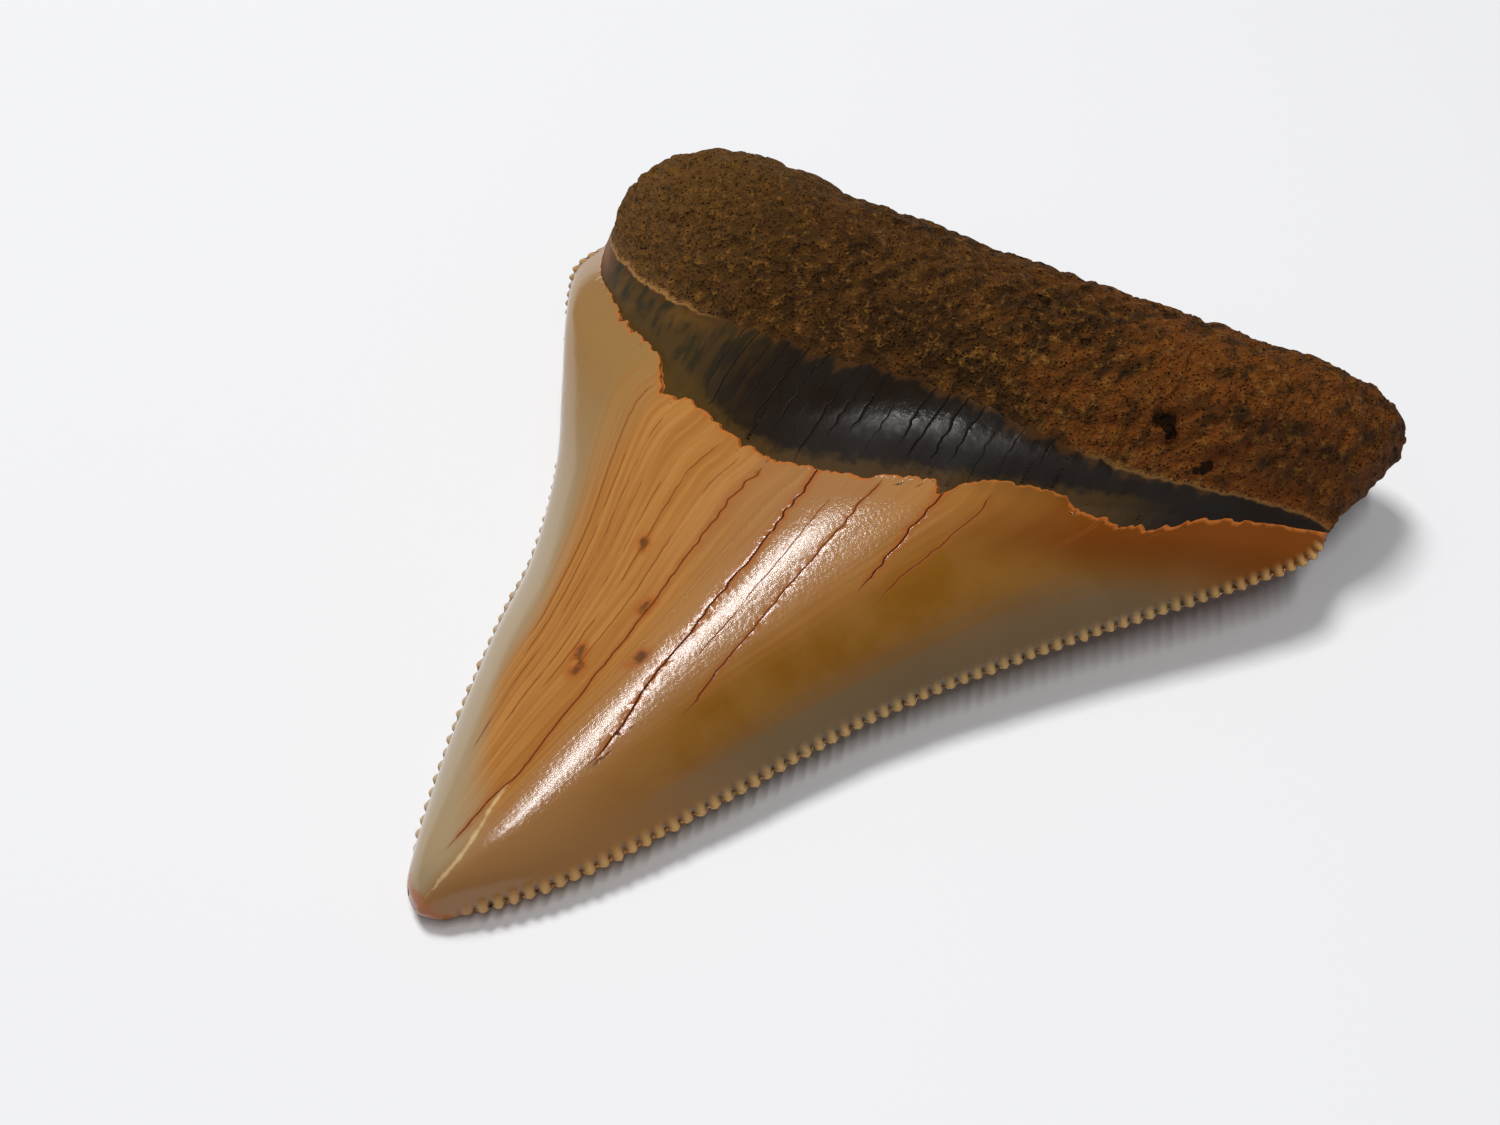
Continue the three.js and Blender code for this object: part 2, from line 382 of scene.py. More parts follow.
    def ridge_height(self, row: np.ndarray) -> np.ndarray:
        """Gives the height of the ridge down the middle, without the enamel's ledge."""
        crown = mix(self.tip_thickness, self.crown_thickness, np.clip(row, 0.0, 1.0) ** self.ridge_power)
        climb = np.sin(math.pi / 2.0 * np.clip((row - 1.0) / (self.crest_row - 1.0), 0.0, 1.0))
        root = mix(self.crown_thickness - self.enamel_thickness, self.root_thickness, climb)
        return np.where(row <= 1.0, crown, root + self.enamel_thickness * (1.0 - smoothstep(row, 1.0, 1.25)))

    def off_ridge(self, column: np.ndarray) -> np.ndarray:
        """Gives the distance from the ridge, 0 there and 1 at the outline."""
        left = 1.0 - column / self.ridge_column
        right = (column - self.ridge_column) / (1.0 - self.ridge_column)
        return np.maximum(left, right)

    def upper_fullness(self, row: np.ndarray, column: np.ndarray) -> np.ndarray:
        """Gives how full the upper skin is, 0 on the outline and 1 on the ridge."""
        off = self.off_ridge(column)
        lens = 1.0 - off**self.lens_power
        section = mix(lens, quarter_round(off, self.block_power), smoothstep(row, 1.0, self.block_row))
        tip_end = quarter_round(1.0 - row / self.tip_round_row, 2.0)
        back_share = (row - self.back_round_row) / (2.0 - self.back_round_row)
        return section * tip_end * quarter_round(back_share, self.back_round_power)

    def lower_fullness(self, row: np.ndarray, column: np.ndarray) -> np.ndarray:
        """Gives how full the lower skin is, 0 on the outline and 1 where it rests on the table."""
        side = np.clip((self.off_ridge(column) - self.flat_share) / (1.0 - self.flat_share), 0.0, 1.0)
        roundness = smoothstep(row, 1.0, self.lower_round_row)
        section = mix(1.0 - side**self.bevel_power, quarter_round(side, self.round_power), roundness)
        tip_end = quarter_round(1.0 - row / self.lower_tip_row, 2.0)
        back_share = (row - self.lower_back_row) / (2.0 - self.lower_back_row)
        return section * tip_end * quarter_round(back_share, self.round_power)


@dataclass
class ToothMarks:
    """Where the tooth is cracked, pitted and stained."""

    main_cracks: tuple[Crack, ...] = (
        Crack(((0.14, 0.5), (0.19, 0.5), (0.245, 0.515), (0.33, 0.5), (0.45, 0.48), (0.6, 0.475),
               (0.97, 0.47)),
              0.08, 0.99, 0.7, 101),
        Crack(((0.2, 0.665), (0.32, 0.64), (0.37, 0.62), (0.43, 0.59), (0.5, 0.57), (0.65, 0.545),
               (0.8, 0.535),
               (0.93, 0.525), (1.0, 0.515)), 0.28, 1.02, 1.0, 103),
        Crack(((0.2, 0.69), (0.55, 0.6), (0.7, 0.575), (0.9, 0.555), (1.0, 0.548)), 0.5, 0.95, 0.35, 105),
        Crack(((0.2, 0.76), (0.43, 0.69), (0.5, 0.66), (0.6, 0.63), (0.7, 0.61), (0.82, 0.595),
               (0.97, 0.575)),
              0.4, 1.0, 0.75, 107),
        Crack(((0.2, 0.82), (0.82, 0.66), (0.9, 0.645), (0.98, 0.632)), 0.72, 1.02, 1.0, 109),
        Crack(((0.2, 0.86), (0.77, 0.7), (0.85, 0.69), (0.98, 0.675)), 0.7, 1.0, 0.6, 111),
        Crack(((0.2, 0.9), (0.9, 0.78), (1.0, 0.78)), 0.86, 0.99, 0.5, 113),
    )
    hair_columns: tuple[float, ...] = (0.306, 0.327, 0.351, 0.374, 0.398, 0.42, 0.446)
    hair_seed: int = 7
    band_crack_columns: tuple[float, ...] = (
        0.36, 0.378, 0.4, 0.416, 0.436, 0.456, 0.472, 0.49, 0.505, 0.522, 0.545, 0.57, 0.586, 0.605, 0.622,
        0.646, 0.668, 0.7,
    )
    band_crack_seed: int = 19
    specks: Points = ((0.415, 0.72), (0.44, 0.445), (0.47, 0.605), (0.525, 0.5), (0.427, 0.465))
    speck_radius: float = 0.36
    flake_path: Points = ((0.04, 0.63), (0.08, 0.6), (0.13, 0.56), (0.18, 0.525), (0.22, 0.51))
    pits: tuple[tuple[float, float, float, float], ...] = (
        (0.79, 1.27, 0.34, 0.8), (0.797, 1.25, 0.24, 0.6), (0.781, 1.279, 0.22, 0.4),
        (0.834, 1.14, 0.22, 0.6),
        (0.839, 1.152, 0.24, 0.7), (0.845, 1.164, 0.24, 0.7), (0.85, 1.176, 0.2, 0.6),
        (0.595, 1.625, 0.4, 0.34),
        (0.585, 1.635, 0.3, 0.3), (0.67, 1.48, 0.24, 0.16), (0.676, 1.495, 0.24, 0.18),
        (0.682, 1.51, 0.24, 0.16),
    )

    def __post_init__(self) -> None:
        """Lays the finer cracks between the main ones, in order from left to right."""
        random = np.random.default_rng(self.hair_seed)
        hairs = []
        for index, column in enumerate(self.hair_columns):
            first, last = random.uniform(0.2, 0.5), random.uniform(0.75, 1.0)
            lean = LEAN * (LEAN_COLUMN - column)
            path = ((0.2, column - lean), (1.0, column))
            hairs.append(Crack(path, first, last, random.uniform(0.2, 0.4), 201 + 2 * index))
        self.crown_cracks = (*hairs, *self.main_cracks)
        random = np.random.default_rng(self.band_crack_seed)
        self.band_cracks = tuple(
            Crack(((1.0, column), (1.3, column)), random.uniform(1.0, 1.09), random.uniform(1.24, 1.36),
                  random.uniform(0.45, 1.0), 301 + 2 * index)
            for index, column in enumerate(self.band_crack_columns)
        )

    def crack_gap(
        self, course: np.ndarray, row: np.ndarray, column: np.ndarray, width: np.ndarray
    ) -> tuple[np.ndarray, np.ndarray]:
        """Measures the way to the nearest crack.

        The sign changes at every crack, and only there, so that a value between two points of the mesh is
        true.

        Args:
            course: Courses, which tell the crown from the band.
            row: Rows.
            column: Columns.
            width: Width of the tooth at these rows.

        Returns:
            The gap, in millimetres, and how open the nearest crack is.
        """
        gap, gain = np.full(len(row), 5.0), np.zeros(len(row))
        crown = course <= 1.0
        for cracks, here in ((self.crown_cracks, crown), (self.band_cracks, ~crown & (row < 1.36))):
            gap[here], gain[here] = self._nearest(cracks, row[here], column[here], width[here])
        return gap, gain

    @staticmethod
    def _nearest(
        cracks: tuple[Crack, ...], row: np.ndarray, column: np.ndarray, width: np.ndarray
    ) -> tuple[np.ndarray, np.ndarray]:
        """Picks the nearest of some cracks that stand in order from left to right.

        Args:
            cracks: The cracks.
            row: Rows.
            column: Columns.
            width: Width of the tooth.

        Returns:
            The signed gap and the strength of the nearest crack.
        """
        gaps = np.stack([(column - crack.column(row)) * width * (-1) ** k for k, crack in enumerate(cracks)])
        strengths = np.stack([crack.strength(row) for crack in cracks])
        nearest = np.abs(gaps).argmin(axis=0)[None, :]
        return np.take_along_axis(gaps, nearest, 0)[0], np.take_along_axis(strengths, nearest, 0)[0]


@dataclass
class ToothSkin:
    """The closed mesh of the tooth, split until it is fine enough everywhere."""

    form: ToothForm
    marks: ToothMarks
    crown_courses: int = 30
    band_courses: int = 4
    root_courses: int = 14
    columns: int = 30
    rounds: int = 10
    split_over: float = 1.35
    plain_edge: float = 0.55
    hidden_edge: float = 0.9
    root_edge: float = 0.265
    lower_root_edge: float = 0.5
    rim_edge: float = 0.16
    crack_edge: float = 0.11
    hair_edge: float = 0.34
    bead_edge: float = 0.15
    rib_edge: float = 0.24
    crack_depth: float = 0.015
    crack_half_width: float = 0.06
    open_crack: float = 0.5
    serration_pitch: float = 0.78
    left_rib_share: float = 0.55
    course: np.ndarray = field(init=False, repr=False)
    column: np.ndarray = field(init=False, repr=False)
    side: np.ndarray = field(init=False, repr=False)
    triangles: np.ndarray = field(init=False, repr=False)

    def __post_init__(self) -> None:
        """Makes the first coarse mesh and refines it."""
        self._coarse()
        for _ in range(self.rounds):
            if not self._split_long_edges():
                break

    def _coarse(self) -> None:
        """Makes both skins from a grid of courses and columns that share their outline."""
        crown = np.linspace(0.0, 1.0, self.crown_courses + 1) ** 1.25
        band = np.linspace(self.form.ledge_course, self.form.band_course, self.band_courses + 1)
        root = mix(self.form.band_course, 2.0, np.sin(np.linspace(0.0, math.pi / 2.0, self.root_courses + 1)))
        courses = np.concatenate([crown, band, root[1:]])
        even = np.linspace(0.0, 1.0, self.columns + 1)
        across = 0.5 * even + 0.25 * (1.0 - np.cos(math.pi * even))
        rows, width = len(courses), len(across)
        upper = np.arange(rows * width).reshape(rows, width)
        lower = upper.copy()
        inner = (rows - 2) * (width - 2)
        lower[1:-1, 1:-1] = (rows * width + np.arange(inner)).reshape(rows - 2, width - 2)
        grid_course, grid_column = np.meshgrid(courses, across, indexing="ij")
        side = np.full((rows, width), float(Side.OUTLINE))
        side[1:-1, 1:-1] = Side.UPPER
        self.course = np.concatenate([grid_course.ravel(), grid_course[1:-1, 1:-1].ravel()])
        self.column = np.concatenate([grid_column.ravel(), grid_column[1:-1, 1:-1].ravel()])
        self.side = np.concatenate([side.ravel(), np.full(inner, float(Side.LOWER))])
        self.triangles = np.concatenate([self._grid_faces(upper), self._grid_faces(lower)[:, ::-1]])

    @staticmethod
    def _grid_faces(grid: np.ndarray) -> np.ndarray:
        """Cuts a grid's cells in two, with each corner's diagonal at that corner."""
        a, b, c, d = grid[:-1, :-1], grid[:-1, 1:], grid[1:, 1:], grid[1:, :-1]
        i, j = np.indices(a.shape)
        rising = (i < a.shape[0] / 2) == (j < a.shape[1] / 2)
        first = np.where(rising[..., None], np.stack([a, b, c], -1), np.stack([a, b, d], -1))
        second = np.where(rising[..., None], np.stack([a, c, d], -1), np.stack([b, c, d], -1))
        return np.concatenate([first.reshape(-1, 3), second.reshape(-1, 3)])

    def width(self, row: np.ndarray) -> np.ndarray:
        """Gives the width of the tooth at these rows."""
        table = np.linspace(0.0, 2.0, 200)
        left = self.form.plan(table, np.zeros_like(table))
        right = self.form.plan(table, np.ones_like(table))
        return np.interp(row, table, np.linalg.norm(right - left, axis=1))

    def place(self, course: np.ndarray, column: np.ndarray, side: np.ndarray) -> np.ndarray:
        """Gives the position of points of the skin, with its ledge, cracks and pits.

        Args:
            course: Courses.
            column: Columns.
            side: The skin of each point.

        Returns:
            Points in millimetres, one a row, in the shared frame.
        """
        form = self.form
        row = form.row_of(course, column, side)
        plan = form.plan(row, column)
        edge = form.edge_height(row)
        full = form.upper_fullness(row, column)
        upper = mix(edge, form.ridge_height(row), full) + full * self._upper_relief(course, row, column, plan)
        lower = edge * (1.0 - form.lower_fullness(row, column))
        z = np.where(side > 0.0, upper, np.where(side < 0.0, lower, edge))
        return np.column_stack([plan + np.array(form.centring), z])

    def _upper_relief(
        self, course: np.ndarray, row: np.ndarray, column: np.ndarray, plan: np.ndarray
    ) -> np.ndarray:
        """Gives the relief of the upper skin: ledge, band, lobe, cracks and pits.

        Args:
            course: Courses.
            row: Rows.
            column: Columns.
            plan: Plan positions.

        Returns:
            Heights to add, in millimetres.
        """
        form = self.form
        beyond = (course > 1.0) * (1.0 - smoothstep(row, 1.0, 1.25))
        ledge = form.enamel_thickness * smoothstep(course, 1.0, form.ledge_course) * beyond
        in_band = np.clip((course - 1.0) / (form.band_course - 1.0), 0.0, 1.0)
        bulge = form.band_swell * np.sin(math.pi * in_band)
        from_lobe = np.linalg.norm(plan - np.array(form.larger_lobe), axis=1) / form.lobe_radius
        rooted = smoothstep(course, form.band_course, form.band_course + 0.1)
        swell = form.lobe_swell * np.exp(-from_lobe * from_lobe) * rooted
        gap, gain = self.marks.crack_gap(course, row, column, self.width(row))
        groove = self.crack_depth * smoothstep(gain, 0.3, 1.0) * np.exp(-((gap / self.crack_half_width) ** 2))
        groove = groove * np.where(course > 1.0, 1.0 - rooted, 1.0)
        return bulge + swell - ledge - groove - self._pits(plan) * rooted

    def _pits(self, plan: np.ndarray) -> np.ndarray:
        """Gives the depth of the root's larger pits."""
        depth = np.zeros(len(plan))
        for column, row, radius, deep in self.marks.pits:
            centre = self.form.plan(np.array([row]), np.array([column]))
            away = np.linalg.norm(plan - centre, axis=1) / radius
            depth = np.maximum(depth, deep * np.exp(-(away**4)))
        return depth

    def _wanted_edge(self, course: np.ndarray, column: np.ndarray, side: np.ndarray) -> np.ndarray:
        """Gives the edge length that the mesh needs at some places.

        Args:
            course: Courses.
            column: Columns.
            side: The skin of each place.

        Returns:
            Lengths in millimetres.
        """
        row = self.form.row_of(course, column, side)
        width = self.width(row)
        wanted = np.where(side < 0.0, self.hidden_edge, self.plain_edge)
        wanted = np.where(course > 1.0, np.where(side < 0.0, self.lower_root_edge, self.root_edge), wanted)
        edge_gap = np.minimum(column, 1.0 - column) * width
        serrated = course < 0.99
        on_ribs = serrated & (edge_gap < 1.3) & (side >= 0.0)
        wanted = np.where(on_ribs, np.minimum(wanted, self.rib_edge), wanted)
        wanted = np.where(serrated & (edge_gap < 0.6), np.minimum(wanted, self.bead_edge), wanted)
        wanted = np.where((np.abs(course - 1.004) < 0.012) & (side >= 0.0), self.rim_edge, wanted)
        hairy = (course < 1.0) & (row > 0.2) & (column > 0.2) & (column < 0.47) & (side > 0.0)
        wanted = np.where(hairy, np.minimum(wanted, self.hair_edge), wanted)
        gap, gain = self.marks.crack_gap(course, row, column, width)
        above_root = (side > 0.0) & (course < self.form.band_course)
        cracked = (gain > self.open_crack) & (np.abs(gap) < 0.14) & above_root
        wanted = np.where(cracked, np.minimum(wanted, self.crack_edge), wanted)
        marked = self._speck(row, column, width) + self._pits(self.form.plan(row, column)) * (course > 1.0)
        return np.where((marked > 0.03) & (side > 0.0), np.minimum(wanted, self.rim_edge), wanted)

    def _speck(self, row: np.ndarray, column: np.ndarray, width: np.ndarray) -> np.ndarray:
        """Gives how close a place is to one of the dark specks, from 0 to 1."""
        speck = np.zeros(len(row))
        for at_column, at_row in self.marks.specks:
            aside, ahead = (column - at_column) * width, 0.55 * (row - at_row) * 30.0
            away = np.hypot(aside, ahead) / self.marks.speck_radius
            speck = np.maximum(speck, np.exp(-away * away))
        return speck

    def _flake(self, row: np.ndarray, column: np.ndarray, width: np.ndarray) -> np.ndarray:
        """Gives the way to the chipped streak near the tip, in millimetres, with its side as the sign."""
        rows, columns = np.array(self.marks.flake_path).T
        past = np.maximum(np.maximum(rows[0] - row, row - rows[-1]), 0.0) * 30.0
        gap = (column - np.interp(row, rows, columns)) * width
        return np.where(gap < 0.0, -1.0, 1.0) * np.hypot(gap, past)

    def _split_long_edges(self) -> bool:
        """Splits every edge that is too long, and the triangles on it.

        Returns:
            Whether an edge was split.
        """
        position = self.place(self.course, self.column, self.side)
        ends = np.sort(np.concatenate([self.triangles[:, [k, (k + 1) % 3]] for k in range(3)]), axis=1)
        edges, edge_of = np.unique(ends, axis=0, return_inverse=True)
        a, b = edges.T
        course, column = (self.course[a] + self.course[b]) / 2.0, (self.column[a] + self.column[b]) / 2.0
        side = np.sign(self.side[a] + self.side[b])
        length = np.linalg.norm(position[a] - position[b], axis=1)
        long = length > self.split_over * self._wanted_edge(course, column, side)
        if not long.any():
            return False
        middle = np.full(len(edges), -1)
        middle[long] = len(self.course) + np.arange(long.sum())
        self.course = np.concatenate([self.course, course[long]])
        self.column = np.concatenate([self.column, column[long]])
        self.side = np.concatenate([self.side, side[long]])
        self.triangles = self._split(self.triangles, middle[edge_of.reshape(3, -1).T])
        return True

    @staticmethod
    def _split(triangles: np.ndarray, middles: np.ndarray) -> np.ndarray:
        """Splits triangles at the middles of their edges.

        Args:
            triangles: Corners, one triangle a row.
            middles: The middle point of each of their edges, or -1.

        Returns:
            The new triangles.
        """
        count = (middles >= 0).sum(axis=1)
        done = [triangles[count == 0]]
        for turn in range(3):
            order = [turn, (turn + 1) % 3, (turn + 2) % 3]
            tri, mid = triangles[:, order], middles[:, order]
            one = (count == 1) & (mid[:, 0] >= 0)
            (a, b, c), m = tri[one].T, mid[one, 0]
            done += [np.stack([a, m, c], 1), np.stack([m, b, c], 1)]
            two = (count == 2) & (mid[:, 2] < 0)
            (a, b, c), (m, n, _) = tri[two].T, mid[two].T
            done += [np.stack([m, b, n], 1), np.stack([a, m, n], 1), np.stack([a, n, c], 1)]
        three = count == 3
        (a, b, c), (m, n, o) = triangles[three].T, middles[three].T
        done += [np.stack(corner, 1) for corner in ((a, m, o), (m, b, n), (o, n, c), (m, n, o))]
        return np.concatenate(done)

    def zones(self) -> np.ndarray:
        """Gives each triangle's surface."""
        course = self.course[self.triangles].mean(axis=1)
        lower = self.side[self.triangles].min(axis=1) < 0.0
        beyond = np.where(lower | (course > self.form.band_course), Zone.ROOT, Zone.BAND)
        return np.where(course < self.form.ledge_course, Zone.ENAMEL, beyond)

    def values(self, position: np.ndarray) -> tuple[dict[str, np.ndarray], np.ndarray]:
        """Works out what the node trees read at each point.

        Args:
            position: Points of the mesh, in millimetres.

        Returns:
            The named values, and the direction straight out of the nearest cutting edge.
        """
        row = self.form.row_of(self.course, self.column, self.side)
        width = self.width(row)
        gap, gain = self.marks.crack_gap(self.course, row, self.column, width)
        values = {mark.value: np.zeros(len(row)) for mark in Mark}
        values[Mark.SIDE.value] = self.side
        values[Mark.CRACK_GAP.value] = np.where(self.side < 0.0, 5.0, np.clip(gap, -5.0, 5.0))
        values[Mark.CRACK_GAIN.value] = np.where(self.side < 0.0, 0.0, gain)
        values[Mark.SPECK.value] = self._speck(row, self.column, width) * (self.side > 0.0)
        flake = np.clip(self._flake(row, self.column, width), -5.0, 5.0)
        values[Mark.FLAKE.value] = np.where(self.side > 0.0, flake, 5.0)
        values[Mark.RIM_GAP.value] = np.clip((1.0 - self.course) * 35.0, -5.0, 5.0)
        band_gap = (row - self.form.band_row(self.column)) * 25.0
        values[Mark.BAND_GAP.value] = np.where(self.side < 0.0, 5.0, np.clip(band_gap, -5.0, 5.0))
        start = np.where(self.side < 0.0, 1.02, self.form.band_course)
        values[Mark.ROUGH.value] = smoothstep(self.course - start, 0.0, 0.06)
        values[Mark.EDGE_GAP.value] += 9.0
        out = np.zeros((len(row), 3))
        plan = position[:, :2] - np.array(self.form.centring)
        values[Mark.PIT.value] = self._pits(plan) * (self.side > 0.0) * values[Mark.ROUGH.value]
        for curve, near, turn, share in (
            (self.form.left_curve, self.column < 0.5, -1.0, self.left_rib_share),
            (self.form.right_curve, self.column >= 0.5, 1.0, 1.0),
        ):
            close = near & (np.minimum(self.column, 1.0 - self.column) * width < 3.0) & (self.course < 1.05)
            along, away, tangent = curve.nearest(plan[close])
            beads = round(curve.length / self.serration_pitch)
            values[Mark.EDGE_RUN.value][close] = along * beads * self.serration_pitch
            rise = position[close, 2] - self.form.edge_height(row[close])
            rib_share = np.where(self.side[close] < 0.0, 1.0, share)
            values[Mark.EDGE_GAP.value][close] = np.hypot(away, rise) / rib_share
            fade = smoothstep(along, 0.0, 0.05) * (1.0 - smoothstep(along, 0.97, 1.0))
            values[Mark.EDGE_FADE.value][close] = fade * (self.course[close] <= 1.0)
            out[close, 0] = turn * tangent[:, 1]
            out[close, 1] = -turn * tangent[:, 0]
        return values, out

    def mesh(self, name: str) -> bpy.types.Mesh:
        """Makes the Blender mesh with its values and its place map.

        Args:
            name: Name of the mesh.

        Returns:
            The mesh, in metres.
        """
        position = self.place(self.course, self.column, self.side)
        mesh = bpy.data.meshes.new(name)
        mesh.from_pydata((position * METRES).tolist(), [], self.triangles.tolist())
        mesh.polygons.foreach_set("use_smooth", np.ones(len(self.triangles), bool))
        values, out = self.values(position)
        for key, numbers in values.items():
            mesh.attributes.new(key, "FLOAT", "POINT").data.foreach_set("value", numbers.astype(np.float32))
        vectors = mesh.attributes.new(EDGE_OUT, "FLOAT_VECTOR", "POINT")
        vectors.data.foreach_set("vector", out.astype(np.float32).ravel())
        zone = mesh.attributes.new(ZONE, "INT", "FACE")
        zone.data.foreach_set("value", self.zones().astype(np.int32))
        corner = np.empty(len(mesh.loops), np.int32)
        mesh.loops.foreach_get("vertex_index", corner)
        row = self.form.row_of(self.course, self.column, self.side)
        place = np.column_stack([self.column, row])[corner]
        mesh.uv_layers.new(name=PLACE_MAP).data.foreach_set("uv", place.astype(np.float32).ravel())
        mesh.update()
        return mesh


class NodeGraph:
    """Short ways to place and join nodes in one tree."""

    def __init__(self, tree: bpy.types.NodeTree) -> None:
        """Takes the tree to work in."""
        self.tree = tree

    def add(self, kind: str, **settings: Any) -> bpy.types.Node:
        """Adds a node with some of its settings."""
        node = self.tree.nodes.new(kind)
        for key, value in settings.items():
            setattr(node, key, value)
        return node

    def feed(self, socket: bpy.types.NodeSocket, value: Any) -> None:
        """Joins a socket to a node's output, or sets it to a plain value."""
        if isinstance(value, bpy.types.NodeSocket):
            self.tree.links.new(value, socket)
        elif value is not None:
            socket.default_value = value

    def math(self, operation: str, *values: Any) -> bpy.types.NodeSocket:
        """Adds a sum on single values."""
        node = self.add("ShaderNodeMath", operation=operation)
        for socket, value in zip(node.inputs, values):
            self.feed(socket, value)
        return node.outputs[0]

    def vector(self, operation: str, a: Any, b: Any = None, scale: Any = None) -> bpy.types.NodeSocket:
        """Adds a sum on vectors."""
        node = self.add("ShaderNodeVectorMath", operation=operation)
        self.feed(node.inputs[0], a)
        self.feed(node.inputs[1], b)
        if scale is not None:
            self.feed(node.inputs["Scale"], scale)
        return node.outputs[0]

    def combine(self, x: Any, y: Any, z: Any) -> bpy.types.NodeSocket:
        """Makes a vector of three values."""
        node = self.add("ShaderNodeCombineXYZ")
        for socket, value in zip(node.inputs, (x, y, z)):
            self.feed(socket, value)
        return node.outputs[0]

    def ease(self, value: Any, low: Any, high: Any) -> bpy.types.NodeSocket:
        """Eases from 0 at low to 1 at high."""
        node = self.add("ShaderNodeMapRange", interpolation_type="SMOOTHSTEP")
        for socket, number in zip(node.inputs, (value, low, high)):
            self.feed(socket, number)
        return node.outputs[0]

    def fade(self, value: Any, low: Any, high: Any) -> bpy.types.NodeSocket:
        """Eases from 1 at low to 0 at high."""
        return self.math("SUBTRACT", 1.0, self.ease(value, low, high))

    def between(self, value: Any, low: float, high: float, soft: float) -> bpy.types.NodeSocket:
        """Marks the values between two limits, with soft ends."""
        rise = self.ease(value, low - soft, low + soft)
        return self.math("MULTIPLY", rise, self.fade(value, high - soft, high + soft))

    def blend(self, factor: Any, a: Any, b: Any, kind: str = "MIX") -> bpy.types.NodeSocket:
        """Blends two colours."""
        node = self.add("ShaderNodeMix", data_type="RGBA", blend_type=kind)
        self.feed(node.inputs[0], factor)
        self.feed(node.inputs[6], a)
        self.feed(node.inputs[7], b)
        return node.outputs[2]

    def tint(self, mask: Any, share: float, colour: Any, over: Colour) -> bpy.types.NodeSocket:
        """Lays a share of one colour over another where the mask is."""
        return self.blend(self.math("MULTIPLY", mask, share), colour, linear(over))

    def noise(self, vector: Any, scale: Any, detail: float = 2.0, seed: Any = 0.0) -> bpy.types.NodeSocket:
        """Adds noise from 0 to 1."""
        node = self.add("ShaderNodeTexNoise", noise_dimensions="4D")
        for key, value in (("Vector", vector), ("Scale", scale), ("Detail", detail), ("W", seed)):
            self.feed(node.inputs[key], value)
        return node.outputs[0]

    def cells(self, vector: Any, scale: Any, seed: Any = 0.0) -> bpy.types.NodeSocket:
        """Adds the distance to the nearest of some scattered points."""
        node = self.add("ShaderNodeTexVoronoi", voronoi_dimensions="4D")
        for key, value in (("Vector", vector), ("Scale", scale), ("W", seed)):
            self.feed(node.inputs[key], value)
        return node.outputs["Distance"]


def linear(colour: Colour) -> tuple[float, float, float, float]:
    """Turns a screen colour into the linear one that nodes take."""
    shares = [channel / 255.0 for channel in colour]
    red, green, blue = [s / 12.92 if s <= 0.04045 else ((s + 0.055) / 1.055) ** 2.4 for s in shares]
    return (red, green, blue, 1.0)


